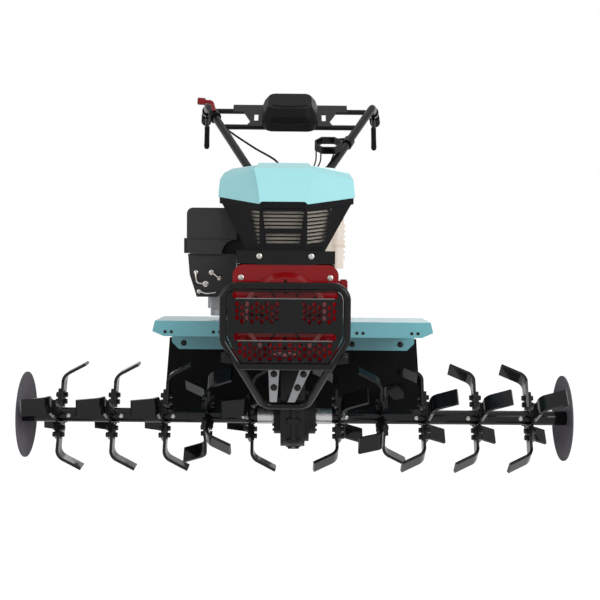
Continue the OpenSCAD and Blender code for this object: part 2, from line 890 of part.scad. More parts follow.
// Folded sheet over one side's tines: top, front lip, rear plate and the flange on the gear housing
module fender_half(side) {
    inner = box_half_w + side * body_x;
    outer = fender_half_w + side * fender_x;
    on_side(side) {
        translate([inner, 0, 0])
            plate_x(outer - lip_slant - inner)
                polygon([
                    [-fender_reach, fender_z], [fold_y, fender_z], [fender_reach, fender_z - fender_fall],
                    [fender_reach, fender_z - fender_fall - fender_t],
                    [fold_y, fender_z - fender_t], [-fender_reach, fender_z - fender_t],
                ]);
        translate([0, -fender_reach, 0])
            plate_y(fender_t)
                polygon([
                    [inner, fender_z], [outer - lip_slant, fender_z], [outer, fender_z - lip_h * 0.68],
                    [outer - lip_corner, fender_z - lip_h], [inner, fender_z - lip_h],
                ]);
        translate([0, fender_reach - fender_t, 0])
            plate_y(fender_t)
                polygon([
                    [inner, fender_z - fender_fall - 1], [outer - lip_slant, fender_z - fender_fall - 1],
                    [outer - lip_slant, fender_z - rear_h + rear_corner],
                    [outer - lip_slant - rear_corner, fender_z - rear_h], [inner, fender_z - rear_h],
                ]);
        translate([inner, box_front + 20, fender_z - lip_h])
            cube([fender_t, box_rear - box_front - 40, lip_h]);
        translate([outer - lip_slant - fender_t, 0, 0])
            plate_x(fender_t)
                polygon([
                    [-fender_reach, fender_z], [fold_y, fender_z], [fender_reach, fender_z - fender_fall],
                    [fender_reach, fender_z - rear_h / 2], [-fender_reach, fender_z - lip_h * 0.6],
                ]);
    }
}

module fender_left() color(TEAL) on_axle() fender_half(-1);
module fender_right() color(TEAL) on_axle() fender_half(1);

// Rubber sheet on the fender's rear, with a notch round the hitch
module mud_flap()
    color(BLACK)
        on_axle()
            translate([0, fender_reach, 0])
                plate_y(flap_t)
                    difference() {
                        polygon([
                            [fender_x - fender_half_w, flap_top], [fender_x + fender_half_w, flap_top],
                            [fender_x + fender_half_w + flap_flare, flap_low],
                            [fender_x - fender_half_w - flap_flare, flap_low],
                        ]);
                        translate([-hitch_half_w - 12, hitch_z - 20])
                            square([2 * hitch_half_w + 24, flap_top]);
                    }

// Two cheeks behind the gear housing, with the square sleeve of the drag stake between them
module hitch()
    color(BLACK)
        on_axle() difference() {
            hole = stake_w + 2 * stake_gap;
            union() {
                for (side = [-1, 1])
                    translate([side * (hitch_half_w - cheek_plate / 2) - cheek_plate / 2, box_rear, hitch_z])
                        cube([cheek_plate, hitch_end - box_rear, hitch_h]);
                translate([-hitch_half_w + cheek_plate, stake_y - sleeve_w / 2, hitch_z - 20])
                    cube([2 * hitch_half_w - 2 * cheek_plate, sleeve_w, hitch_h + 40]);
            }
            translate([-hole / 2, stake_y - hole / 2, hitch_z - 50]) cube([hole, hole, hitch_h + 100]);
            rod([-2 * hitch_half_w, pin_y, pin_z], [2 * hitch_half_w, pin_y, pin_z], hitch_pin_r);
            rod([0, stake_y, screw_z], [0, stake_y + sleeve_w, screw_z], screw_r + slip_gap);
        }

// Clamp screw with a cross handle, which presses on the stake
module clamp_screw()
    color(STEEL)
        on_axle() {
            handle_y = stake_y + sleeve_w / 2 + 26;
            rod([0, stake_y + stake_w / 2 + stake_gap, screw_z], [0, handle_y + 8, screw_z], screw_r);
            rod([-30, handle_y, screw_z], [30, handle_y, screw_z], screw_r - 1);
        }

// Square stake with a chisel foot and a row of depth holes
module drag_stake()
    color(BLACK)
        on_axle()
            translate([-stake_w / 2, stake_y, stake_bottom])
                difference() {
                    plate_x(stake_w)
                        polygon([
                            [-stake_w / 2, 0], [stake_w / 6, 0], [stake_w / 2, chisel_h],
                            [stake_w / 2, stake_len], [-stake_w / 2, stake_len],
                        ]);
                    for (z = [chisel_h + 40 : hole_row : stake_len - 20])
                        rod([-1, 0, z], [stake_w + 1, 0, z], screw_r);
                }

// Slanting column with its foot plate, a gusset and the pivot's head on top
module handle_column()
    color(BLACK)
        on_body()
            difference() {
                union() {
                    difference() {
                        rod([0, column_y, box_top - 20], [0, pivot_y - 16, pivot_z - 20], column_r);
                        translate([-100, 0, 0]) cube([200, 300, box_top]);
                    }
                    translate([-46, column_y - 28, box_top]) cube([92, 60, foot_t]);
                    translate([-4, 0, 0])
                        plate_x(8)
                            polygon([
                                [column_y - 26, box_top + 2], [column_y + 20, box_top + 2],
                                [column_y + 90, box_top + 110],
                            ]);
                    rod([-head_half_w, pivot_y, pivot_z], [head_half_w, pivot_y, pivot_z], head_r);
                }
                rod([-head_half_w - 1, pivot_y, pivot_z], [head_half_w + 1, pivot_y, pivot_z], pivot_r + run_gap);
            }

function arm_path(side) = [
    [side * handle_foot_w, pivot_y, pivot_z] + unit(handle_rise) * foot_off,
    [side * handle_half_w, bend_y, handle_z],
    [side * (handle_half_w + grip_flare), bend_y + grip_len, handle_z - grip_drop],
];
function arm_at(side, t) = mid(arm_path(side)[0], arm_path(side)[1], t);

// Arm of the handlebar with the cheek that it turns on
module handle_arm(side)
    color(BLACK)
        on_body() {
            path = arm_path(side);
            foot = [side * arm_foot, path[0][1], path[0][2]];
            bent_rod([foot, arm_at(side, knee_at), path[1], path[2]], handle_r, handle_bend);
            difference() {
                translate([side * (head_half_w + cheek_gap + cheek_t / 2) - cheek_t / 2, pivot_y, pivot_z])
                    plate_x(cheek_t)
                        union() {
                            circle(head_r + 2);
                            rotate(atan2(handle_rise[2], handle_rise[1]))
                                translate([0, -handle_r]) square([foot_off + 45, 2 * handle_r]);
                        }
                rod([-100, pivot_y, pivot_z], [100, pivot_y, pivot_z], pivot_r + slip_gap);
            }
        }

module pivot_bolt()
    color(STEEL)
        on_body() {
            out = head_half_w + cheek_gap + cheek_t + slip_gap;
            rod([-out - 4, pivot_y, pivot_z], [out + 4, pivot_y, pivot_z], pivot_r);
            rod([out, pivot_y, pivot_z], [out + 10, pivot_y, pivot_z], pivot_r + 5);
            rod([-out - 26, pivot_y, pivot_z], [-out, pivot_y, pivot_z], pivot_r + 10);
        }

// Cross tube of the handlebar, cut to sit against both arms
module cross_tube(t)
    color(BLACK)
        on_body()
            difference() {
                rod(arm_at(-1, t), arm_at(1, t), cross_r);
                for (side = [-1, 1])
                    rod(arm_at(side, t - 0.2), arm_at(side, t + 0.2), handle_r + seat_gap / 2);
            }

module cross_low() cross_tube(cross_low_at);
module cross_top() cross_tube(cross_top_at);

module grip(side)
    color(BLACK)
        on_body() {
            path = arm_path(side);
            tube(mid(path[1], path[2], 0.55), path[2], grip_r, handle_r + seat_gap);
        }

// Draws its children in the plane of the two cross tubes: X across, Y up the slope, Z away from it
module on_slope()
    translate([0, arm_at(1, cross_low_at)[1], arm_at(1, cross_low_at)[2]])
        rotate([atan2(handle_rise[2], handle_rise[1]), 0, 0])
            children();
cross_span = norm(arm_at(0, cross_top_at) - arm_at(0, cross_low_at));
console_mid = cross_span / 2 - 25;

// Sheet on the two cross tubes that carries the console
module console_plate()
    color(BLACK)
        on_body()
            on_slope()
                translate([0, 0, cross_r + seat_gap])
                    linear_extrude(plate_t)
                        difference() {
                            union() {
                                translate([-console_w - 6, cross_span - 22]) square([2 * console_w + 12, 42]);
                                polygon([
                                    [-plate_foot, -12], [plate_foot, -12], [plate_foot - 12, 14],
                                    [plate_foot + 14, cross_span - 14], [-plate_foot - 14, cross_span - 14],
                                    [12 - plate_foot, 14],
                                ]);
                            }
                            for (side = [-1, 1])
                                translate([side * (console_w / 2 + 18), cross_span / 2 - 8])
                                    square([12, cross_span / 2 - 6], center = true);
                        }

module console_slice(z, w, d, r)
    translate([0, console_mid, z]) linear_extrude(1) rounded_rect(w, d, r);

// Padded instrument housing on the plate
module console()
    color(BLACK)
        on_body()
            on_slope()
                translate([0, 0, cross_r + seat_gap + plate_t])
                    hull() {
                        console_slice(0, console_w - 10, console_len, 30);
                        console_slice(console_d * 0.35, console_w, console_len + 4, 34);
                        console_slice(console_d * 0.7, console_w - 16, console_len - 10, 32);
                        console_slice(console_d - 1, console_w - 40, console_len - 46, 22);
                    }

// Clamp ring on a stretch of an arm, from point a towards point b
module arm_clamp(a, b, length)
    tube(a, a + unit(b - a) * length, handle_r + 5, handle_r + seat_gap);

// Hand lever under a grip, on its clamp
module hand_lever(side)
    color(BLACK)
        on_body() {
            path = arm_path(side);
            at = mid(path[1], path[2], 0.3);
            arm_clamp(at, path[2], 24);
            bent_rod([at + unit(path[2] - at) * 12 - [0, 0, handle_r + lever_r + 1.5],
                mid(path[1], path[2], 0.42) - [0, 0, lever_drop],
                mid(path[1], path[2], 0.66) - [0, 0, lever_end]], lever_r, 14);
        }

// Thumb lever for the throttle on the left arm, turned outwards
module throttle_lever()
    color(RED)
        on_body() {
            at = arm_at(-1, throttle_at);
            arm_clamp(at, arm_at(-1, 1), 20);
            start = at + unit(arm_at(-1, 1) - at) * 10 + normal_to_handle * (handle_r + lever_r + 1.5);
            turn = start + [-8, 0, 26];
            tip = turn + [-40, 2, 3];
            bent_rod([start, turn, tip], lever_r, 9);
            rod(mid(turn, tip, 0.5), tip + [-3, 0, 0], lever_r + 5);
        }

// Gate of the gear lever: an eight-sided loop of flat bar in front of the right arm
module shift_gate()
    color(BLACK)
        on_body() {
            at = arm_at(1, gate_at);
            way = unit(arm_at(1, 1) - at);
            slope = atan2(handle_rise[2], handle_rise[1]);
            back = [gate_x, gate_y, gate_z] + unit(handle_rise) * (gate_d / 2 - gate_wall / 2)
                + normal_to_handle * gate_h / 2;
            clamp = at + way * 13;
            across = back - clamp - way * ((back - clamp) * way);
            arm_clamp(at, arm_at(1, 1), 26);
            rod(clamp + unit(across) * (handle_r + 4), back, 4);
            translate([gate_x, gate_y, gate_z])
                rotate([slope, 0, 0])
                    linear_extrude(gate_h)
                        difference() {
                            gate_outline(gate_w, gate_d, 20);
                            gate_outline(gate_w - 2 * gate_wall, gate_d - 2 * gate_wall, 17);
                        }
        }

module gate_outline(w, d, cut)
    polygon([
        [cut - w / 2, -d / 2], [w / 2 - cut, -d / 2], [w / 2, cut - d / 2], [w / 2, d / 2 - cut],
        [w / 2 - cut, d / 2], [cut - w / 2, d / 2], [-w / 2, d / 2 - cut], [-w / 2, cut - d / 2],
    ]);

module rotor_inner_left() rotor_inner(-1);
module rotor_inner_right() rotor_inner(1);
module rotor_outer_left() rotor_outer(-1);
module rotor_outer_right() rotor_outer(1);
module side_disc_left() side_disc(-1);
module side_disc_right() side_disc(1);
module arm_left() handle_arm(-1);
module arm_right() handle_arm(1);
module grip_left() grip(-1);
module grip_right() grip(1);
module lever_left() hand_lever(-1);
module lever_right() hand_lever(1);

rotor_inner_left();
rotor_inner_right();
rotor_outer_left();
rotor_outer_right();
side_disc_left();
side_disc_right();
output_shaft();
drive_case();
gearbox();
engine_base();
engine_block();
fan_shroud();
recoil_cover();
air_filter();
carburettor();
muffler();
oil_cap();
fuel_tank();
hood();
hood_grille();
grille_bracket();
bumper_frame();
skid_brackets();
bumper_grille();
fender_left();
fender_right();
mud_flap();
hitch();
clamp_screw();
drag_stake();
handle_column();
pivot_bolt();
arm_left();
arm_right();
cross_low();
cross_top();
grip_left();
grip_right();
lever_left();
lever_right();
throttle_lever();
shift_gate();
console_plate();
console();
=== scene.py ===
"""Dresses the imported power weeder: paint and finishes, bolts, cable, grips and the studio."""

import json
import math

import bmesh
import bpy
from mathutils import Euler, Matrix, Vector


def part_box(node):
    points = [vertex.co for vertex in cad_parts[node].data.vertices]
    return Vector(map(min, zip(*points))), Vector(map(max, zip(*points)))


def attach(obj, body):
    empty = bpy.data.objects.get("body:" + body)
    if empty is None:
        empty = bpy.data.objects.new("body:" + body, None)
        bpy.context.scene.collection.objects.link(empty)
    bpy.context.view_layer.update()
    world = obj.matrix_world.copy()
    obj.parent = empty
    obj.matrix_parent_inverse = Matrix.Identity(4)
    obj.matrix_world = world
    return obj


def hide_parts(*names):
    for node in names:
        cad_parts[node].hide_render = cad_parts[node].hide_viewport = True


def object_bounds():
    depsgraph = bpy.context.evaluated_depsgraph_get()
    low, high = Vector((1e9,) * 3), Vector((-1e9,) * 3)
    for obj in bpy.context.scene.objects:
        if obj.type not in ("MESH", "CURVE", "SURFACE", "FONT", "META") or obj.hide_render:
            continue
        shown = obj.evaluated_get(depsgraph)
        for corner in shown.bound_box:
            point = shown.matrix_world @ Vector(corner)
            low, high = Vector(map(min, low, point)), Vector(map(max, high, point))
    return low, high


bl_info = {
    "name": "Power weeder dressing",
    "version": (1, 0, 0),
    "blender": (4, 5, 0),
    "location": "View3D > Sidebar > Weeder",
    "description": "Finishes, fasteners, cable and studio for a walk-behind power weeder",
    "category": "Object",
}

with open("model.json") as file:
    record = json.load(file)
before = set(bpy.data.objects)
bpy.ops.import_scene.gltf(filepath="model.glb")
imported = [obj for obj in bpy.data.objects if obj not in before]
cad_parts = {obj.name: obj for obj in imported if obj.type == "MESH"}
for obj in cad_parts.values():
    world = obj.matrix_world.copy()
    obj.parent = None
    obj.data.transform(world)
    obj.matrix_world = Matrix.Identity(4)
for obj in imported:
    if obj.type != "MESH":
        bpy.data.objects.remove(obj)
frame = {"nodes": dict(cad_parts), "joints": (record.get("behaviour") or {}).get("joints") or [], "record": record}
CAD_BOX = [list(corner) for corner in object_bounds()]
JOINTS = {joint["name"]: joint for joint in frame["joints"]}
AXLE = Vector(JOINTS["rotor_spin"]["pos_m"])
BODY_X = JOINTS["handlebar_tilt"]["pos_m"][0]
MM = 0.001
FRONT, REAR = Vector((0, -1, 0)), Vector((0, 1, 0))
SIDES = {-1: "left", 1: "right"}


def linear(hex_colour):
    """sRGB hex to the linear colour that a shader takes."""
    parts = [int(hex_colour[i : i + 2], 16) / 255 for i in (1, 3, 5)]
    return (*[c / 12.92 if c <= 0.04045 else ((c + 0.055) / 1.055) ** 2.4 for c in parts], 1.0)


def colour_prop(name, description, default):
    """Colour that a user may change, with its default as sRGB hex."""
    return bpy.props.FloatVectorProperty(
        name=name, description=description, subtype="COLOR", size=4, min=0, max=1, default=linear(default)
    )


def length_prop(name, description, default_mm):
    """Length that a user may change, with its default in millimetres."""
    return bpy.props.FloatProperty(
        name=name, description=description, unit="LENGTH", min=0, default=default_mm * MM
    )


class WeederColours(bpy.types.PropertyGroup):
    """Colours of the finishes."""

    black_paint: colour_prop("Black paint", "Powder coat on tubes and brackets", "#0a0a0b")
    tine_paint: colour_prop("Tine paint", "Dipped paint on the tines", "#101011")
    disc_paint: colour_prop("Disc paint", "Paint on the side discs", "#5a565d")
    zinc: colour_prop("Zinc", "Plating on shafts and brackets", "#b9b7b8")
    casting: colour_prop("Casting", "Paint on the drive case", "#151517")
    alloy: colour_prop("Alloy", "Die-cast engine parts", "#8d8f92")
    muffler: colour_prop("Muffler", "Heat-proof coat on the muffler", "#e1d5c8")
    red: colour_prop("Red", "Engine covers", "#7e0309")
    moulding: colour_prop("Moulding", "Black moulded plastic", "#0d0d0f")
    filter_case: colour_prop("Filter case", "Moulded case of the air filter", "#2a2a2b")
    hood: colour_prop("Hood", "Moulded hood", "#9dd7db")
    fender: colour_prop("Fender", "Paint on the fender", "#62a2ab")
    tank: colour_prop("Tank", "Fuel tank behind the grille", "#cbc2b4")
    bolts: colour_prop("Bolts", "Zinc plating of the bolts", "#b9b5b0")
    oxide: colour_prop("Oxide", "Blackened bolts", "#171718")
    rubber: colour_prop("Rubber", "Flap and grips", "#0e0e0f")
    # Lighter steel grey for the slots' lower lips: a painted highlight, the bright line that light draws along
    # them.
    lip_highlight: colour_prop("Rubbed edge", "Steel that shows through rubbed paint", "#6c6b6c")


class WeederSizes(bpy.types.PropertyGroup):
    """Sizes of what the dressing adds."""

    tine_bolt: length_prop("Tine bolt", "Width across flats of the bolts on the tines", 11)
    case_bolt: length_prop("Case bolt", "Width across flats of the bolts on castings and sheets", 8)
    cable: length_prop("Cable", "Diameter of the clutch cable", 6)


def add_node(tree, kind, settings=None, links=None):
    """Adds a node: settings go to its input sockets, or else to its properties."""
    node = tree.nodes.new(kind)
    for key, value in (settings or {}).items():
        if isinstance(key, int) or key in node.inputs:
            node.inputs[key].default_value = value
        else:
            setattr(node, key, value)
    for socket, source in (links or {}).items():
        tree.links.new(source, node.inputs[socket])
    return node


# Clouds of the slow mottle in a colour, 14 to the metre, and the band that most of a noise lies in.
CLOUD_MM = 1000 / 14
NOISE_BAND = {"From Min": 0.3, "From Max": 0.7}
BUMP_STRENGTH = 0.6
COAT_ROUGHNESS = 0.08


def finish(
    name, colour, *, roughness, grain_mm, bump_mm, mottle, metallic=0.0, coat=0.0, spread=0.08, shine=0.5
):
    """Material with fine grain in its bump and roughness and a slow mottle in its colour."""
    material = bpy.data.materials.new(name)
    material.use_nodes = True
    tree = material.node_tree
    tree.nodes.clear()
    place = add_node(tree, "ShaderNodeTexCoord").outputs["Object"]
    grain = add_node(
        tree, "ShaderNodeTexNoise", {"Scale": 1 / (grain_mm * MM), "Detail": 3.0}, {"Vector": place}
    ).outputs["Fac"]
    clouds = add_node(
        tree, "ShaderNodeTexNoise", {"Scale": 1 / (CLOUD_MM * MM), "Detail": 5.0}, {"Vector": place}
    ).outputs["Fac"]
    shade = add_node(
        tree,
        "ShaderNodeMapRange",
        {**NOISE_BAND, "To Min": 1 - mottle, "To Max": 1 + mottle},
        {"Value": clouds},
    ).outputs["Result"]
    tint = add_node(
        tree, "ShaderNodeHueSaturation", {"Color": colour}, {"Value": shade}
    ).outputs["Color"]
    rough = add_node(
        tree,
        "ShaderNodeMapRange",
        {**NOISE_BAND, "To Min": roughness - spread, "To Max": roughness + spread},
        {"Value": grain},
    ).outputs["Result"]
    bump = add_node(
        tree, "ShaderNodeBump", {"Strength": BUMP_STRENGTH, "Distance": bump_mm * MM}, {"Height": grain}
    ).outputs["Normal"]
    shader = add_node(
        tree,
        "ShaderNodeBsdfPrincipled",
        {
            "Metallic": metallic,
            "Coat Weight": coat,
            "Coat Roughness": COAT_ROUGHNESS,
            "Specular IOR Level": shine,
        },
        {"Base Color": tint, "Roughness": rough, "Normal": bump},
    ).outputs["BSDF"]
    add_node(tree, "ShaderNodeOutputMaterial", links={"Surface": shader})
    return material


MATERIALS = {}


def make_materials(colours):
    """One material per finish. The real grain is finer, and is drawn this coarse so that it shows."""
    # Powder-coated steel tube: satin, with the faint orange peel of a baked coat.
    MATERIALS["black_paint"] = finish(
        "powder_coated_steel", colours.black_paint,
        roughness=0.34, grain_mm=2.2, bump_mm=0.05, mottle=0.10, coat=0.3, shine=0.05,
    )
    # Dip-painted spring steel: a little glossier, uneven where the paint ran.
    MATERIALS["tine_steel"] = finish(
        "dip_painted_spring_steel", colours.tine_paint,
        roughness=0.33, grain_mm=5.0, bump_mm=0.08, mottle=0.18, coat=0.4, shine=0.05,
    )
    # Sprayed sheet steel: flat grey with a soft sheen.
    MATERIALS["disc_steel"] = finish(
        "sprayed_sheet_steel", colours.disc_paint,
        roughness=0.62, grain_mm=2.0, bump_mm=0.04, mottle=0.10, shine=0.1,
    )
    # Zinc-plated turned steel: bright, with a slight cloud.
    MATERIALS["zinc_steel"] = finish(
        "zinc_plated_steel", colours.zinc,
        metallic=0.9, roughness=0.30, grain_mm=1.5, bump_mm=0.02, mottle=0.08,
    )
    # Painted sand casting: dark and pebbled.
    MATERIALS["cast_case"] = finish(
        "painted_sand_cast_iron", colours.casting,
        roughness=0.52, grain_mm=2.6, bump_mm=0.22, mottle=0.14, shine=0.18,
    )
    # Die-cast aluminium: dull grey with a fine skin.
    MATERIALS["engine_alloy"] = finish(
        "die_cast_aluminium", colours.alloy,
        metallic=0.85, roughness=0.46, grain_mm=1.6, bump_mm=0.08, mottle=0.10,
    )
    # Pressed steel with a heat-proof coat: pale and matt.
    MATERIALS["muffler_alloy"] = finish(
        "heat_proof_coated_steel", colours.muffler,
        roughness=0.50, grain_mm=2.0, bump_mm=0.05, mottle=0.05,
    )
    # Enamelled steel covers: deep gloss under a clear coat.
    MATERIALS["red_cover"] = finish(
        "gloss_enamelled_steel", colours.red,
        roughness=0.30, grain_mm=3.0, bump_mm=0.01, mottle=0.05, coat=0.3, shine=0.1,
    )
    # Moulded polypropylene: spark-eroded grain, dull black.
    MATERIALS["black_plastic"] = finish(
        "grained_polypropylene", colours.moulding,
        roughness=0.50, grain_mm=1.2, bump_mm=0.10, mottle=0.06, shine=0.1,
    )
    # Moulded polyamide of the filter case: dark grey, with a silky grain.
    MATERIALS["filter_case"] = finish(
        "grained_polyamide", colours.filter_case,
        roughness=0.50, grain_mm=1.4, bump_mm=0.08, mottle=0.05, shine=0.2,
    )
    # Moulded ABS: smooth and glossy in pale aqua.
    MATERIALS["hood_shell"] = finish(
        "gloss_moulded_abs", colours.hood,
        roughness=0.34, grain_mm=2.0, bump_mm=0.004, mottle=0.01, coat=0.1, spread=0.02, shine=0.3,
    )
    # Sprayed sheet steel in teal: gloss with orange peel.
    MATERIALS["teal_paint"] = finish(
        "gloss_sprayed_sheet", colours.fender,
        roughness=0.34, grain_mm=2.5, bump_mm=0.02, mottle=0.03, coat=0.15, spread=0.04,
    )
    # Blown polyethylene: pale, slightly waxy.
    MATERIALS["tank_shell"] = finish(
        "blown_polyethylene", colours.tank,
        roughness=0.40, grain_mm=4.0, bump_mm=0.03, mottle=0.05,
    )
    # Bright zinc-plated bolts: whiter than the shafts.
    MATERIALS["bolt_zinc"] = finish(
        "bright_zinc_plated_bolts", colours.bolts,
        metallic=0.75, roughness=0.28, grain_mm=1.0, bump_mm=0.02, mottle=0.10,
    )
    # Blackened steel bolts: dull, with a thin oily glint.
    MATERIALS["bolt_black"] = finish(
        "oxide_blackened_bolts", colours.oxide,
        metallic=0.3, roughness=0.34, grain_mm=1.0, bump_mm=0.02, mottle=0.10, shine=0.3,
    )
    # Lighter, half-metallic coat on the rolled lower lips of the slots: a painted highlight, a thin bright line
    # along the edge.
    MATERIALS["painted_highlight_lip"] = finish(
        "painted_highlight_coat", colours.lip_highlight,
        metallic=0.6, roughness=0.30, grain_mm=2.2, bump_mm=0.02, mottle=0.15,
    )
    # Pressed rubber sheet: matt, with a dusty bloom.
    MATERIALS["black_rubber"] = finish(
        "pressed_rubber", colours.rubber,
        roughness=0.72, grain_mm=1.4, bump_mm=0.10, mottle=0.12, shine=0.1,
    )


# Nodes whose finish differs from that of their slot in the record.
OWN_FINISH = {"air_filter": "filter_case"}
# Width of the rounding on the edges of each slot's solids.
EDGE_MM = {
    "black_paint": 0.8,
    "tine_steel": 0.9,
    "disc_steel": 0.5,
    "zinc_steel": 0.5,
    "cast_case": 2.5,
    "engine_alloy": 1.5,
    "muffler_alloy": 3.0,
    "red_cover": 3.0,
    "black_plastic": 2.5,
    "hood_shell": 4.0,
    "teal_paint": 0.6,
    "black_rubber": 0.8,
    "tank_shell": 4.0,
}
# Degrees below which neighbouring faces count as one, and above which an edge is rounded.
FLAT_ANGLE, EDGE_ANGLE = 1.0, 35.0


class WEEDER_OT_finishes(bpy.types.Operator):
    """Paint every solid of the frame and round its edges"""

    bl_idname = "weeder.finishes"
    bl_label = "Finishes"

    def execute(self, context):
        make_materials(context.scene.weeder_colours)
        slots = {row["node"]: row["material_slot"] for row in frame["record"]["subparts"]}
        for name, node in frame["nodes"].items():
            slot = slots[name]
            node.data.materials.clear()
            node.data.materials.append(MATERIALS[OWN_FINISH.get(name, slot)])
            dissolve = node.modifiers.new("flat_faces", "DECIMATE")
            dissolve.decimate_type = "DISSOLVE"
            dissolve.angle_limit = math.radians(FLAT_ANGLE)
            edge = node.modifiers.new("rounded_edges", "BEVEL")
            edge.width = EDGE_MM[slot] * MM
            edge.segments = 2
            edge.limit_method = "ANGLE"
            edge.angle_limit = math.radians(EDGE_ANGLE)
            edge.use_clamp_overlap = True
            node.modifiers.new("even_normals", "WEIGHTED_NORMAL").keep_sharp = True
        return {"FINISHED"}


def at_axle(x, y, z):
    """Point given in millimetres from the axle's middle."""
    return AXLE + Vector((x, y, z)) * MM


def at_body(x, y, z):
    """Point given in millimetres from the axle, but sideways from the engine's middle."""
    return Vector((BODY_X, AXLE.y, AXLE.z)) + Vector((x, y, z)) * MM


def on_plane(x, y, z):
    """Point on a plane across the machine: y is the frame's own, x and z are as for at_body."""
    return Vector((BODY_X + x * MM, y, AXLE.z + z * MM))


def round_axle(degrees, radius):
    """Way from the axle to a point of a circle round it, counted from the top over the front."""
    angle = math.radians(degrees)
    return Vector((0, -math.sin(angle), math.cos(angle))) * radius * MM


def axes_along(way):
    """Matrix that turns +Z to a direction."""
    return Vector(way).to_track_quat("Z", "Y").to_matrix().to_4x4()


def in_metres(profile):
    """Profile of a turned solid, given in millimetres."""
    return [(radius * MM, height * MM) for radius, height in profile]


def skin_rings(bm, rings, capped=True):
    """Faces between rings of points that all have the same count."""
    loops = [[bm.verts.new(point) for point in ring] for ring in rings]
    for low, high in zip(loops, loops[1:]):
        count = len(low)
        for i in range(count):
            bm.faces.new((low[i], low[(i + 1) % count], high[(i + 1) % count], high[i]))
    if capped:
        bm.faces.new(list(reversed(loops[0])))
        bm.faces.new(loops[-1])
    return loops


def fill_between(bm, loops, way):
    """Flat face inside the first loop and outside the others."""
    edges = [bm.edges.get(pair) for loop in loops for pair in zip(loop, loop[1:] + loop[:1])]
    bmesh.ops.triangle_fill(bm, use_beauty=True, edges=edges, normal=way)


def turned_form(bm, place, profile, sides=24):
    """Turned solid: profile is a list of (radius, height) along the place's own Z."""
    step = 2 * math.pi / sides
    skin_rings(
        bm,
        [
            [place @ Vector((r * math.cos(i * step), r * math.sin(i * step), h)) for i in range(sides)]
            for r, h in profile
        ],
    )


def hex_bolt(bm, seat, way, flats, spin=0.0):
    """Hex head with a chamfered top on a round washer, all in shares of its width across flats."""
    place = Matrix.Translation(seat) @ axes_along(way) @ Matrix.Rotation(spin, 4, "Z")
    washer = flats * 0.95
    turned_form(bm, place, [(washer, 0), (washer, flats * 0.1), (washer * 0.94, flats * 0.14)], sides=20)
    corner = flats / 2 / math.cos(math.pi / 6)
    top = flats * 0.72
    turned_form(bm, place, [(corner, flats * 0.12), (corner, top * 0.9), (corner * 0.87, top)], sides=6)


def pipe(bm, points, radius, sides=8):
    """Round pipe along a list of points, smooth where the points are close together."""
    rings = []
    # A slanted start, so that no route runs along it.
    up = Vector((0.13, 0.21, 0.97))
    for i, point in enumerate(points):
        way = (points[min(i + 1, len(points) - 1)] - points[max(i - 1, 0)]).normalized()
        across = way.cross(up).normalized()
        up = across.cross(way).normalized()
        rings.append(
            [
                point + (across * math.cos(a) + up * math.sin(a)) * radius
                for a in (2 * math.pi * k / sides for k in range(sides))
            ]
        )
    skin_rings(bm, rings)


def smooth_route(corners, per_span=8):
    """Points on a smooth curve through the corners of a route."""
    points = []
    ends = [corners[0] * 2 - corners[1], *corners, corners[-1] * 2 - corners[-2]]
    for a, b, c, d in zip(ends, ends[1:], ends[2:], ends[3:]):
        for k in range(per_span):
            t = k / per_span
            points.append(
                0.5
                * (2 * b + (c - a) * t + (2 * a - 5 * b + 4 * c - d) * t * t + (3 * b - a - 3 * c + d) * t**3)
            )
    points.append(corners[-1])
    return points


def block(bm, low, high, edge):
    """Box between two corners with rounded edges."""
    made = bmesh.ops.create_cube(bm, size=1.0)["verts"]
    size, middle = high - low, (high + low) / 2
    for vert in made:
        vert.co = Vector((vert.co.x * size.x, vert.co.y * size.y, vert.co.z * size.z)) + middle
    edges = list({e for v in made for e in v.link_edges})
    bmesh.ops.bevel(bm, geom=edges, offset=edge, segments=2, profile=0.5, affect="EDGES")


def on_front(name, ends, spans, sag=0.0):
    """Points on the front of a solid, between two ends and with a sag at the middle."""
    node = frame["nodes"][name]
    points = []
    for i in range(spans + 1):
        share = i / spans
        aim = ends[0].lerp(ends[1], share) - Vector((0, 0, sag * 4 * share * (1 - share)))
        hit, place = node.ray_cast(Vector((aim.x, CAD_BOX[0][1] - 1, aim.z)), REAR)[:2]
        if not hit:
            raise RuntimeError(f"no front of {name} at {aim}")
        points.append(place)
    return points


# Degrees above which an edge of a new piece is shaded sharp.
SHARP_ANGLE = 38.0


def make_piece(name, bm, slot, body):
    """Turns a bmesh into a piece that takes a finish and rides on a body."""
    mesh = bpy.data.meshes.new(name)
    bmesh.ops.recalc_face_normals(bm, faces=bm.faces)
    bm.to_mesh(mesh)
    bm.free()
    piece = bpy.data.objects.new(name, mesh)
    bpy.context.scene.collection.objects.link(piece)
    mesh.materials.append(MATERIALS[slot])
    mesh.shade_smooth()
    mesh.set_sharp_from_angle(angle=math.radians(SHARP_ANGLE))
    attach(piece, body)
    return piece


# Cable from the left hand lever down to the handlebar's foot, in millimetres as for at_body.
CABLE_ROUTE = [
    (-264, 888, 828),
    (-250, 826, 828),
    (-215, 745, 790),
    (-173, 700, 755),
    (-103, 600, 703),
    (-32, 500, 652),
    (-36, 449, 601),
]


class WEEDER_OT_clutch_cable(bpy.types.Operator):
    """Clutch cable from the left hand lever to the handlebar's foot"""

    bl_idname = "weeder.clutch_cable"
    bl_label = "Clutch cable"

    def execute(self, context):
        diameter = context.scene.weeder_sizes.cable
        route = smooth_route([at_body(*corner) for corner in CABLE_ROUTE], per_span=5)
        bm = bmesh.new()
        pipe(bm, route, diameter / 2, sides=10)
        cable = make_piece("clutch_cable", bm, "black_rubber", "handlebar")
        return {"FINISHED"}


# Ribs on the last stretch of a handlebar arm: their first place and their run, as shares of the stretch.
RIB_START, RIB_RUN = 0.57, 0.41
RIB_COUNT = 16
RIB_PROFILE = in_metres([(15.5, -3), (17.2, -1.5), (17.2, 1.5), (15.5, 3)])
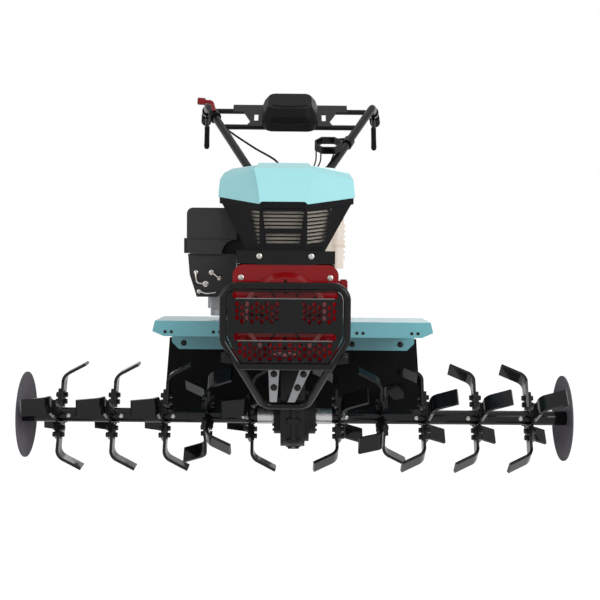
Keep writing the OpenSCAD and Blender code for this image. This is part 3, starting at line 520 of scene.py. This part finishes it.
# Knee and tip of a hand lever: place on that stretch, and millimetres below it.
LEVER_KNEE, LEVER_TIP = (0.42, 36), (0.66, 100)
SLEEVE_PROFILE = in_metres([(6.4, -88), (8.2, -86), (8.4, -30), (9.2, -2), (7.5, 4), (3, 6)])


def handlebar_arm(side):
    """Foot, bend and end of one arm of the handlebar, in millimetres from the body."""
    return (
        Vector((side * 80, 441.6, 582.2)),
        Vector((side * 257, 800, 851)),
        Vector((side * 287, 1100, 839)),
    )


class WEEDER_OT_hand_grips(bpy.types.Operator):
    """Ribs of the two grips and sleeves on the two hand levers"""

    bl_idname = "weeder.hand_grips"
    bl_label = "Hand grips"

    def execute(self, context):
        for side, word in SIDES.items():
            _, bend, end = handlebar_arm(side)
            start, run = bend.lerp(end, RIB_START), (end - bend) * RIB_RUN
            bm = bmesh.new()
            for i in range(RIB_COUNT):
                middle = at_body(*(start + run * i / (RIB_COUNT - 1)))
                turned_form(bm, Matrix.Translation(middle) @ axes_along(run), RIB_PROFILE)
            make_piece(f"grip_ribs_{word}", bm, "black_rubber", "handlebar")

            knee, tip = (
                bend.lerp(end, share) - Vector((0, 0, drop)) for share, drop in (LEVER_KNEE, LEVER_TIP)
            )
            bm = bmesh.new()
            turned_form(bm, Matrix.Translation(at_body(*tip)) @ axes_along(tip - knee), SLEEVE_PROFILE)
            make_piece(f"lever_sleeve_{word}", bm, "black_rubber", "handlebar")
        return {"FINISHED"}


# Clamp of the throttle lever round the left arm: its place between foot and bend, and its screw.
THROTTLE_SHARE = 0.84
THROTTLE_PROFILE = in_metres([(16.5, -2), (18.2, 0), (18.2, 20), (16.5, 22), (16.5, 22.5)])
THROTTLE_SCREW_SEAT = Vector((0, -17.8, 10)) * MM
THROTTLE_SCREW = 7


class WEEDER_OT_throttle_housing(bpy.types.Operator):
    """Clamp of the throttle lever on the left arm"""

    bl_idname = "weeder.throttle_housing"
    bl_label = "Throttle housing"

    def execute(self, context):
        foot, bend, _ = handlebar_arm(-1)
        place = Matrix.Translation(at_body(*foot.lerp(bend, THROTTLE_SHARE))) @ axes_along(bend - foot)
        bm = bmesh.new()
        turned_form(bm, place, THROTTLE_PROFILE)
        hex_bolt(bm, place @ THROTTLE_SCREW_SEAT, place.to_3x3() @ FRONT, THROTTLE_SCREW * MM)
        make_piece("throttle_housing", bm, "black_plastic", "handlebar")
        return {"FINISHED"}


# Beads across the console: drop from its top, left and right end, as shares of its size, then the sag at
# the middle and the radius in millimetres.
CONSOLE_BEADS = [(0.35, 0.2, 0.8, 5, 2.2), (0.80, 0.12, 0.88, 4, 3.5)]
BEAD_SPANS = 16


class WEEDER_OT_console_beads(bpy.types.Operator):
    """Moulded beads across the padded console"""

    bl_idname = "weeder.console_beads"
    bl_label = "Console beads"

    def execute(self, context):
        low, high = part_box("console")
        size = high - low
        bm = bmesh.new()
        for drop, left, right, sag, radius in CONSOLE_BEADS:
            z = high.z - size.z * drop
            ends = [Vector((low.x + size.x * share, low.y, z)) for share in (left, right)]
            pipe(bm, on_front("console", ends, BEAD_SPANS, sag * MM), radius * MM)
        make_piece("console_beads", bm, "black_plastic", "handlebar")
        return {"FINISHED"}


# Rods from the gear gate down to the handlebar's foot, in millimetres as for at_body.
GATE_RODS = [
    [(78, 560, 694), (76, 545, 660), (58, 490, 612), (50, 476, 602)],
    [(92, 548, 689), (88, 535, 655), (62, 490, 616), (54, 478, 606)],
    [(132, 552, 690), (112, 528, 648), (68, 496, 620), (58, 482, 610)],
]
GATE_ROD_RADIUS = 2.2


class WEEDER_OT_gate_rods(bpy.types.Operator):
    """Rods under the gear gate"""

    bl_idname = "weeder.gate_rods"
    bl_label = "Gate rods"

    def execute(self, context):
        bm = bmesh.new()
        for corners in GATE_RODS:
            pipe(bm, smooth_route([at_body(*corner) for corner in corners]), GATE_ROD_RADIUS * MM)
        make_piece("gate_rods", bm, "black_paint", "handlebar")
        return {"FINISHED"}


# Each hub: millimetres from the middle, turn of its first tine by side, and the way each tine is
# bent (1 to the middle, -1 to the outside).
HUBS = [
    (108, {-1: 0, 1: 0}, (1, -1, 1, -1)),
    (212, {-1: 45, 1: 53.5}, (1, 1, -1, -1)),
    (317, {-1: 0, 1: 0}, (1, -1, 1, -1)),
    (444, {-1: 0, 1: 0}, (1, -1, 1, -1)),
    (572, {-1: 0, 1: 0}, (1, -1, 1, -1)),
]
PARKED_TURN = {-1: -24.66, 1: -25.34}
# Two bolts to a tine, from the axle outwards, and the seats of nut and head from the hub's middle.
TINE_BOLT_RADII = (33, 50)
NUT_SEAT, HEAD_SEAT = 9.6, 3.0
# Pins through the rotor's tubes, and the nut of a side disc.
PIN_PLACES = (124, 294, 419, 546)
PIN_SEAT = 17.2
PIN_SHARE = 0.65
DISC_NUT = 12


class WEEDER_OT_rotor_bolts(bpy.types.Operator):
    """Bolts and nuts that hold the tines on their flanges, pins of the tubes and nuts of the discs"""

    bl_idname = "weeder.rotor_bolts"
    bl_label = "Rotor bolts"

    def execute(self, context):
        sizes = context.scene.weeder_sizes
        for side, word in SIDES.items():
            bm = bmesh.new()
            for hub_x, turn, bends in HUBS:
                for i, bend in enumerate(bends):
                    degrees = PARKED_TURN[side] + turn[side] + 90 * i
                    self.add_tine_bolts(bm, side, hub_x, degrees, bend, sizes.tine_bolt)
            make_piece(f"tine_bolts_{word}", bm, "bolt_black", "rotor")

            bm = bmesh.new()
            for pin_x in PIN_PLACES:
                for facing in (-1, 1):
                    seat = at_axle(side * pin_x, facing * PIN_SEAT, 0)
                    hex_bolt(bm, seat, REAR * facing, sizes.case_bolt * PIN_SHARE)
            disc_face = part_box(f"side_disc_{word}")[side > 0].x
            hex_bolt(bm, Vector((disc_face, AXLE.y, AXLE.z)), (side, 0, 0), DISC_NUT * MM)
            make_piece(f"tube_pins_{word}", bm, "bolt_zinc", "rotor")
        return {"FINISHED"}

    def add_tine_bolts(self, bm, side, hub_x, degrees, bend, flats):
        """Bolt heads and nuts of one tine."""
        for radius in TINE_BOLT_RADII:
            for face, towards in ((NUT_SEAT, -bend), (HEAD_SEAT, bend)):
                seat = at_axle(side * (hub_x + towards * face), 0, 0) + round_axle(degrees, radius)
                hex_bolt(bm, seat, (side * towards, 0, 0), flats, math.radians(degrees))


# Honeycomb of the bumper's sheet, in millimetres: across and down from one column and row to the next,
# width and height of a hole, and the fields with their first column, columns, first row and rows.
COLUMN_STEP, ROW_STEP = 10.45, 7.2
HOLE_W, HOLE_H = 9.3, 10.4
HOLE_FIELDS = [(-100.5, 9, 289, 6), (40.3, 7, 289, 6), (-94.05, 19, 203, 5)]
# Least sheet between a hole and the sheet's side, and the chamfer round an opening.
HOLE_MARGIN, HOLE_EDGE = 2, 0.7
# Long slots: half the distance of their round ends, height over the axle and width.
LONG_SLOTS = [(103.7, 307.5, 13.6), (99.7, 220, 16)]
LIP_RADIUS = 1.4
# The sheet's sides lean in from a shoulder to a knee and on to the foot: half width and height.
SHEET_SHOULDER_Z = 223
SHEET_KNEE = Vector((108.9, 195))
SHEET_FOOT_HALF = 90.4
SHEET_CORNER = 22


def arc(start, steps):
    """Ways from an arc's middle to its points, 15 degrees apart."""
    angles = [math.radians(start + 15 * k) for k in range(steps + 1)]
    return [Vector((math.cos(angle), math.sin(angle))) for angle in angles]


def hex_hole(x, z):
    """Six-sided hole with a flat top: its middle and the way to each corner."""
    corners = ((0.5, 0), (0.25, 0.5), (-0.25, 0.5), (-0.5, 0), (-0.25, -0.5), (0.25, -0.5))
    return [(Vector((x, z)), Vector((across * HOLE_W, up * HOLE_H))) for across, up in corners]


def long_slot(half, z, wide):
    """Slot with round ends: the middle of an end and the way to each point of the rim."""
    return [
        (Vector((end * half, z)), way * wide / 2)
        for end, start in ((1, -90), (-1, 90))
        for way in arc(start, 12)
    ]


def rim(opening, y, grown=0.0):
    """Ring of points round an opening, which may be grown by some millimetres."""
    spots = [middle + reach * (1 + grown / reach.length) for middle, reach in opening]
    return [on_plane(spot.x, y, spot.y) for spot in spots]


class WEEDER_OT_bumper_sheet(bpy.types.Operator):
    """Pressed sheet of the bumper with its honeycomb and the lips of its long slots"""

    bl_idname = "weeder.bumper_sheet"
    bl_label = "Bumper sheet"

    def execute(self, context):
        low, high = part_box("bumper_grille")
        front, rear = low.y, high.y
        foot = (low.z - AXLE.z) / MM
        outline = self.sheet_outline((high.x - low.x) / 2 / MM, (high.z - AXLE.z) / MM, foot)
        bm = bmesh.new()
        rings = [[on_plane(spot.x, y, spot.y) for spot in outline] for y in (front, rear)]
        loops = [skin_rings(bm, rings, capped=False)]
        chamfer = HOLE_EDGE * MM
        steps = ((front, HOLE_EDGE), (front + chamfer, 0), (rear - chamfer, 0), (rear, HOLE_EDGE))
        for opening in [*[long_slot(*slot) for slot in LONG_SLOTS], *self.honeycomb(foot)]:
            loops.append(skin_rings(bm, [rim(opening, y, grown) for y, grown in steps], capped=False))
        fill_between(bm, [loop[0] for loop in loops], FRONT)
        fill_between(bm, [loop[-1] for loop in loops], REAR)
        sheet = make_piece("bumper_sheet", bm, "black_paint", "chassis")
        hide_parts("bumper_grille")

        bm = bmesh.new()
        for half, z, wide in LONG_SLOTS:
            ends = [on_plane(end * half, front, z - wide / 2) for end in (-1, 1)]
            pipe(bm, ends, LIP_RADIUS * MM)
        # The lower lips take the lighter finish: a painted highlight along each slot's lower edge.
        make_piece("slot_lips", bm, "painted_highlight_lip", "chassis")
        return {"FINISHED"}

    def sheet_outline(self, half, top, foot):
        """Round upper corners, then the left side down to the foot and the right side up."""
        corner = Vector((half - SHEET_CORNER, top - SHEET_CORNER))
        upper = [
            Vector((end * corner.x, corner.y)) + way * SHEET_CORNER
            for end, start in ((1, 0), (-1, 90))
            for way in arc(start, 6)
        ]
        side = [(half, SHEET_SHOULDER_Z), tuple(SHEET_KNEE), (SHEET_FOOT_HALF, foot)]
        return [*upper, *[Vector((-x, z)) for x, z in side], *[Vector(spot) for spot in reversed(side)]]

    def honeycomb(self, foot):
        """Holes of all fields, apart from those that come too close to the leaning sides."""
        slope = (SHEET_KNEE.x - SHEET_FOOT_HALF) / (SHEET_KNEE.y - foot)
        holes = []
        for first, columns, highest, rows in HOLE_FIELDS:
            for column in range(columns):
                for row in range(column % 2, rows, 2):
                    x, z = first + column * COLUMN_STEP, highest - row * ROW_STEP
                    sheet_half = SHEET_FOOT_HALF + (z - HOLE_H / 2 - foot) * slope
                    if sheet_half - abs(x) - HOLE_W / 2 > HOLE_MARGIN:
                        holes.append(hex_hole(x, z))
        return holes


# Bolts of the covers, in millimetres: sideways on the grille's bracket, and in from the fan housing's sides.
BRACKET_BOLT_X = (-57, 55)
BRACKET_BOLT_DROP = 12
HOUSING_BOLT_INSET, HOUSING_BOLT_DROP = 18, 28
COVER_BOLT_SHARE = 0.8


class WEEDER_OT_cover_bolts(bpy.types.Operator):
    """Bolts of the grille bracket and the fan housing"""

    bl_idname = "weeder.cover_bolts"
    bl_label = "Cover bolts"

    def execute(self, context):
        size = context.scene.weeder_sizes.case_bolt * COVER_BOLT_SHARE
        bm = bmesh.new()
        low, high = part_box("grille_bracket")
        for x in BRACKET_BOLT_X:
            hex_bolt(bm, Vector((BODY_X + x * MM, low.y, high.z - BRACKET_BOLT_DROP * MM)), FRONT, size)
        low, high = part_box("fan_shroud")
        inset = HOUSING_BOLT_INSET * MM
        for x in (low.x + inset, high.x - inset):
            hex_bolt(bm, Vector((x, low.y, high.z - HOUSING_BOLT_DROP * MM)), FRONT, size)
        make_piece("cover_bolts", bm, "bolt_zinc", "chassis")
        return {"FINISHED"}


# Bolt on the right ear of the bumper, and the places on the skid brackets, in millimetres.
EAR_BOLT = Vector((124, -355, 176))
SKID_BOLTS = [(-25, 128), (-25, 98), (40.5, 128), (27.7, 98)]


class WEEDER_OT_bumper_bolts(bpy.types.Operator):
    """Bolts on the bumper's ears and on the skid brackets"""

    bl_idname = "weeder.bumper_bolts"
    bl_label = "Bumper bolts"

    def execute(self, context):
        size = context.scene.weeder_sizes.case_bolt
        bm = bmesh.new()
        for side in SIDES:
            hex_bolt(bm, at_body(side * EAR_BOLT.x, EAR_BOLT.y, EAR_BOLT.z), FRONT, size)
        make_piece("bumper_bolts", bm, "black_paint", "chassis")

        bm = bmesh.new()
        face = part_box("skid_brackets")[0].y
        for x, z in SKID_BOLTS:
            hex_bolt(bm, on_plane(x, face, z), FRONT, size)
        make_piece("bracket_bolts", bm, "bolt_black", "chassis")
        return {"FINISHED"}


# Flange of the drive case, in millimetres: circle of its bolts, and its face by side.
FLANGE_BOLTS, FLANGE_RADIUS = 8, 72
FLANGE_FACES = {-1: -16, 1: 10}
FLANGE_SHARE = 0.85
# Bearing covers on both sides of the case: circle of their bolts, and their faces.
BEARING_BOLTS, BEARING_RADIUS = 6, 33
BEARING_FACE = 50
BEARING_SHARE = 0.7
# Bolts on the sides of the gearbox: in from its front and rear, and up from its foot.
GEARBOX_BOLT_INSET, GEARBOX_BOLT_LIFT = 30, 18


class WEEDER_OT_case_bolts(bpy.types.Operator):
    """Bolts on the drive case, its bearing covers and the gearbox"""

    bl_idname = "weeder.case_bolts"
    bl_label = "Case bolts"

    def execute(self, context):
        size = context.scene.weeder_sizes.case_bolt
        bm = bmesh.new()
        for i in range(FLANGE_BOLTS):
            degrees = 360 / FLANGE_BOLTS * i
            for side, face in FLANGE_FACES.items():
                seat = at_axle(face, 0, 0) + round_axle(degrees, FLANGE_RADIUS)
                hex_bolt(bm, seat, (side, 0, 0), size * FLANGE_SHARE, math.radians(degrees))
        for side in SIDES:
            for i in range(BEARING_BOLTS):
                degrees = 360 / BEARING_BOLTS * i
                seat = at_axle(side * BEARING_FACE, 0, 0) + round_axle(degrees, BEARING_RADIUS)
                hex_bolt(bm, seat, (side, 0, 0), size * BEARING_SHARE, math.radians(degrees))
        low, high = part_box("gearbox")
        inset = GEARBOX_BOLT_INSET * MM
        for x, side in ((low.x, -1), (high.x, 1)):
            for y in (low.y + inset, high.y - inset):
                seat = Vector((x, y, low.z + GEARBOX_BOLT_LIFT * MM))
                hex_bolt(bm, seat, (side, 0, 0), size * FLANGE_SHARE)
        make_piece("case_bolts", bm, "bolt_black", "chassis")
        return {"FINISHED"}


# Bolts of a fender half: places from the middle outwards, as shares of its width, then millimetres up from
# its foot for the rear plate and the flap, and the thickness of its sheet.
FENDER_BOLT_SHARES = (0.36, 0.84)
PLATE_BOLT_LIFT, FLAP_BOLT_LIFT = 70, 16
FENDER_SHEET = 3
# Small bolts on the front lip: in pairs, down from the top and to both sides of the places above.
LIP_BOLT_DROP, LIP_BOLT_SHIFT = 25, 7
LIP_BOLT_SHARE = 0.5


class WEEDER_OT_fender_bolts(bpy.types.Operator):
    """Bolts of the fender, its front lip and its flap"""

    bl_idname = "weeder.fender_bolts"
    bl_label = "Fender bolts"

    def execute(self, context):
        size = context.scene.weeder_sizes.case_bolt
        flap_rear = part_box("mud_flap")[1].y
        bm = bmesh.new()
        for side, word in SIDES.items():
            low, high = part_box(f"fender_{word}")
            flap_z = low.z + FLAP_BOLT_LIFT * MM
            for share in FENDER_BOLT_SHARES:
                x = low.x + (high.x - low.x) * (share if side > 0 else 1 - share)
                hex_bolt(bm, Vector((x, high.y, low.z + PLATE_BOLT_LIFT * MM)), REAR, size)
                hex_bolt(bm, Vector((x, flap_rear, flap_z)), REAR, size)
                hex_bolt(bm, Vector((x, high.y - FENDER_SHEET * MM, flap_z)), FRONT, size)
                for shift in (-LIP_BOLT_SHIFT, LIP_BOLT_SHIFT):
                    seat = Vector((x + shift * MM, low.y, high.z - LIP_BOLT_DROP * MM))
                    hex_bolt(bm, seat, FRONT, size * LIP_BOLT_SHARE)
        make_piece("fender_bolts", bm, "bolt_black", "chassis")
        return {"FINISHED"}


# Cooling fins, in millimetres: down from the block's top, thickness, reach past its sides, and gaps to its
# front and rear.
FIN_COUNT, FIN_PITCH, FIN_DROP = 11, 11, 12
FIN_THICK, FIN_REACH, FIN_EDGE = 3, 7, 0.8
FIN_FRONT_GAP, FIN_REAR_GAP = 4, 30


class WEEDER_OT_cooling_fins(bpy.types.Operator):
    """Cooling fins round the engine block"""

    bl_idname = "weeder.cooling_fins"
    bl_label = "Cooling fins"

    def execute(self, context):
        low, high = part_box("engine_block")
        bm = bmesh.new()
        for i in range(FIN_COUNT):
            z = high.z - (FIN_DROP + i * FIN_PITCH) * MM
            block(
                bm,
                Vector((low.x, low.y, z)) + Vector((-FIN_REACH, FIN_FRONT_GAP, -FIN_THICK)) * MM,
                Vector((high.x, high.y, z)) + Vector((FIN_REACH, -FIN_REAR_GAP, 0)) * MM,
                FIN_EDGE * MM,
            )
        make_piece("cooling_fins", bm, "engine_alloy", "chassis")
        return {"FINISHED"}


# Cowl plate: left, right, foot and top of its parts, from the body's middle and the fan housing's top.
COWL_PARTS = [(-106, 106, -22, 1.6), (-100, -66, -20, 2.4), (62, 100, -20, 2.4)]
COWL_SETBACK, COWL_THICK, COWL_EDGE = 14, 10, 1


class WEEDER_OT_cowl_plate(bpy.types.Operator):
    """Plate behind the fan housing's top"""

    bl_idname = "weeder.cowl_plate"
    bl_label = "Cowl plate"

    def execute(self, context):
        low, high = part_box("fan_shroud")
        seat = Vector((BODY_X, low.y + COWL_SETBACK * MM, high.z))
        bm = bmesh.new()
        for left, right, foot, top in COWL_PARTS:
            block(
                bm,
                seat + Vector((left, 0, foot)) * MM,
                seat + Vector((right, COWL_THICK, top)) * MM,
                COWL_EDGE * MM,
            )
        make_piece("cowl_plate", bm, "black_paint", "chassis")
        return {"FINISHED"}


# Screws of the carburettor: sideways, height and width across flats, on a face behind the filter's front.
CARBURETTOR_SCREWS = [(-168, 351, 6), (-181, 325, 7), (-203, 351, 5), (-150, 338, 5), (-196, 308, 5)]
CARBURETTOR_SETBACK = 8
# Links: sideways, how far out of their plane, and height. The plane stands off the screws' face.
THROTTLE_LINKS = [
    [(-203, 0, 351), (-202, 2, 340), (-198, 2, 328), (-181, 2, 325)],
    [(-168, 0, 351), (-160, 3, 346), (-150, 2, 338)],
    [(-196, 2, 309), (-178, 4, 304), (-158, 2, 306)],
]
LINK_STAND_OFF, LINK_RADIUS = 6, 1.7


class WEEDER_OT_carburettor_trim(bpy.types.Operator):
    """Screws and links of the carburettor"""

    bl_idname = "weeder.carburettor_trim"
    bl_label = "Carburettor trim"

    def execute(self, context):
        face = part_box("air_filter")[0].y + CARBURETTOR_SETBACK * MM
        bm = bmesh.new()
        for x, z, flats in CARBURETTOR_SCREWS:
            # The place also sets the turn, so that no two screws are turned alike.
            hex_bolt(bm, on_plane(x, face, z), FRONT, flats * MM, x)
        make_piece("carburettor_screws", bm, "bolt_zinc", "chassis")

        bm = bmesh.new()
        for corners in THROTTLE_LINKS:
            route = [on_plane(x, face - (LINK_STAND_OFF + out) * MM, z) for x, out, z in corners]
            pipe(bm, smooth_route(route, per_span=6), LINK_RADIUS * MM)
        make_piece("throttle_links", bm, "bolt_zinc", "chassis")
        return {"FINISHED"}


# Seam of the filter case: its ends sideways, its height and its radius.
SEAM_ENDS = (-216, -126)
SEAM_Z = 427
SEAM_RADIUS = 1.6
SEAM_SPANS = 12


class WEEDER_OT_filter_seam(bpy.types.Operator):
    """Seam across the front of the filter case"""

    bl_idname = "weeder.filter_seam"
    bl_label = "Filter seam"

    def execute(self, context):
        bm = bmesh.new()
        seam = on_front("air_filter", [at_body(x, 0, SEAM_Z) for x in SEAM_ENDS], SEAM_SPANS)
        pipe(bm, seam, SEAM_RADIUS * MM)
        make_piece("filter_seam", bm, "filter_case", "chassis")
        return {"FINISHED"}


# Louvres on the muffler's side, in millimetres: down from its top, in from its front and rear, and how far
# they are sunk and stand proud.
LOUVRE_COUNT, LOUVRE_PITCH, LOUVRE_DROP = 7, 12, 20
LOUVRE_H, LOUVRE_INSET, LOUVRE_EDGE = 6, 30, 1
LOUVRE_SUNK, LOUVRE_PROUD = 6, 1


class WEEDER_OT_muffler_louvres(bpy.types.Operator):
    """Louvres in the guard of the muffler"""

    bl_idname = "weeder.muffler_louvres"
    bl_label = "Muffler louvres"

    def execute(self, context):
        low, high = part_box("muffler")
        bm = bmesh.new()
        for i in range(LOUVRE_COUNT):
            z = high.z - (LOUVRE_DROP + i * LOUVRE_PITCH) * MM
            block(
                bm,
                Vector((high.x, low.y, z)) + Vector((-LOUVRE_SUNK, LOUVRE_INSET, 0)) * MM,
                Vector((high.x, high.y, z)) + Vector((LOUVRE_PROUD, -LOUVRE_INSET, LOUVRE_H)) * MM,
                LOUVRE_EDGE * MM,
            )
        make_piece("muffler_louvres", bm, "muffler_alloy", "chassis")
        return {"FINISHED"}


WHITE = linear("#ffffff")
PAPER = linear("#f3f3f3")
# Strength of the world as a light, and where it is seen.
WORLD_LIGHT, WORLD_SEEN = 0.44, 1.0
# Share of the floor's own glow where it is seen, which leaves the shadow faint, and that glow's strength.
GLOW_SHARE, GLOW_STRENGTH = 0.88, 1.13
FLOOR_HALF, FLOOR_Z = 12.0, -0.0005
# Soft boxes: place and size in metres, and power in watts. All look at one point over the axle.
SOFT_BOXES = [
    ("key_softbox", (2.1, -2.9, 1.7), (2.0, 1.6), 68.0),
    ("fill_softbox", (-2.2, -2.4, 1.5), (1.6, 1.6), 22.0),
    ("top_softbox", (0.0, 0.2, 3.2), (2.6, 2.0), 4.0),
    ("rear_softbox", (0.6, 3.0, 2.0), (2.0, 1.2), 18.0),
]
LIT_POINT = Vector((0.0, AXLE.y, 0.45))


def seen_rays(tree):
    """Socket that is 1 for rays by which the camera, metal or glass sees the backdrop."""
    rays = add_node(tree, "ShaderNodeLightPath").outputs
    seen = rays["Is Camera Ray"]
    for other in ("Is Glossy Ray", "Is Transmission Ray"):
        seen = add_node(
            tree, "ShaderNodeMath", {"operation": "MAXIMUM"}, {0: seen, 1: rays[other]}
        ).outputs[0]
    return seen


class WEEDER_OT_stage(bpy.types.Operator):
    """Camera of the photograph, soft studio light and a white floor"""

    bl_idname = "weeder.stage"
    bl_label = "Stage"

    def execute(self, context):
        scene = context.scene
        scene.view_settings.view_transform = "Standard"
        self.make_camera(scene)
        self.make_world(scene)
        self.make_floor(scene)
        self.make_lamps(scene)
        return {"FINISHED"}

    def make_camera(self, scene):
        """Camera that was solved from the rotor: lengths in metres, angles in degrees."""
        focal_px, image_px = 1089.0, 600.0
        distance, eye_over_axle = 2.63, 0.401
        pitch, yaw, roll = 2.58, -0.226, 0.48
        data = bpy.data.cameras.new("photo_camera")
        data.sensor_width = 36.0
        data.lens = focal_px / image_px * data.sensor_width
        camera = bpy.data.objects.new("photo_camera", data)
        camera.location = (0.0, AXLE.y - distance, AXLE.z + eye_over_axle)
        aim = Euler((math.radians(90 - pitch), 0.0, math.radians(yaw))).to_matrix()
        camera.rotation_euler = (aim @ Matrix.Rotation(math.radians(roll), 3, "Z")).to_euler()
        scene.collection.objects.link(camera)
        scene.camera = camera

    def make_world(self, scene):
        """White all round where it is seen, and a softer light on the machine."""
        world = bpy.data.worlds.new("white_studio")
        scene.world = world
        world.use_nodes = True
        tree = world.node_tree
        tree.nodes.clear()
        strength = add_node(
            tree,
            "ShaderNodeMapRange",
            {"To Min": WORLD_LIGHT, "To Max": WORLD_SEEN},
            {"Value": seen_rays(tree)},
        ).outputs["Result"]
        light = add_node(tree, "ShaderNodeBackground", {"Color": WHITE}, {"Strength": strength})
        add_node(tree, "ShaderNodeOutputWorld", links={"Surface": light.outputs["Background"]})

    def make_floor(self, scene):
        """Sheet of paper: its own glow makes it white, and its matt share takes the shadow."""
        material = bpy.data.materials.new("white_paper_floor")
        material.use_nodes = True
        tree = material.node_tree
        tree.nodes.clear()
        paper = add_node(tree, "ShaderNodeBsdfDiffuse", {"Color": PAPER}).outputs["BSDF"]
        glow = add_node(
            tree, "ShaderNodeEmission", {"Color": WHITE, "Strength": GLOW_STRENGTH}
        ).outputs["Emission"]
        share = add_node(
            tree, "ShaderNodeMath", {"operation": "MULTIPLY", 1: GLOW_SHARE}, {0: seen_rays(tree)}
        ).outputs[0]
        mixed = add_node(tree, "ShaderNodeMixShader", links={0: share, 1: paper, 2: glow}).outputs["Shader"]
        add_node(tree, "ShaderNodeOutputMaterial", links={"Surface": mixed})
        bm = bmesh.new()
        bmesh.ops.create_grid(bm, x_segments=1, y_segments=1, size=FLOOR_HALF)
        mesh = bpy.data.meshes.new("paper_floor")
        bm.to_mesh(mesh)
        bm.free()
        mesh.materials.append(material)
        floor = bpy.data.objects.new("paper_floor", mesh)
        floor.location.z = FLOOR_Z
        scene.collection.objects.link(floor)

    def make_lamps(self, scene):
        """Soft boxes at a plain level."""
        for name, where, size, power in SOFT_BOXES:
            data = bpy.data.lights.new(name, "AREA")
            data.shape = "RECTANGLE"
            data.size, data.size_y = size
            data.energy = power
            lamp = bpy.data.objects.new(name, data)
            lamp.location = where
            lamp.rotation_euler = (LIT_POINT - Vector(where)).to_track_quat("-Z", "Y").to_euler()
            scene.collection.objects.link(lamp)


class WEEDER_PT_panel(bpy.types.Panel):
    """Buttons for the dressing steps"""

    bl_label = "Weeder"
    bl_idname = "WEEDER_PT_panel"
    bl_space_type = "VIEW_3D"
    bl_region_type = "UI"
    bl_category = "Weeder"

    def draw(self, context):
        for step in STEPS:
            self.layout.operator(step.bl_idname)


# In the order of making: the camera and the cord come early, and the finishes before all pieces.
STEPS = [
    WEEDER_OT_stage,
    WEEDER_OT_finishes,
    WEEDER_OT_clutch_cable,
    WEEDER_OT_hand_grips,
    WEEDER_OT_throttle_housing,
    WEEDER_OT_console_beads,
    WEEDER_OT_gate_rods,
    WEEDER_OT_rotor_bolts,
    WEEDER_OT_bumper_sheet,
    WEEDER_OT_cover_bolts,
    WEEDER_OT_bumper_bolts,
    WEEDER_OT_case_bolts,
    WEEDER_OT_fender_bolts,
    WEEDER_OT_cooling_fins,
    WEEDER_OT_cowl_plate,
    WEEDER_OT_carburettor_trim,
    WEEDER_OT_filter_seam,
    WEEDER_OT_muffler_louvres,
]
CLASSES = [WeederColours, WeederSizes, *STEPS, WEEDER_PT_panel]


def register():
    for cls in CLASSES:
        bpy.utils.register_class(cls)
    bpy.types.Scene.weeder_colours = bpy.props.PointerProperty(type=WeederColours)
    bpy.types.Scene.weeder_sizes = bpy.props.PointerProperty(type=WeederSizes)


def unregister():
    del bpy.types.Scene.weeder_colours
    del bpy.types.Scene.weeder_sizes
    for cls in reversed(CLASSES):
        bpy.utils.unregister_class(cls)


def main():
    register()
    for step in STEPS:
        group, name = step.bl_idname.split(".")
        getattr(getattr(bpy.ops, group), name)()


if __name__ == "__main__":
    main()
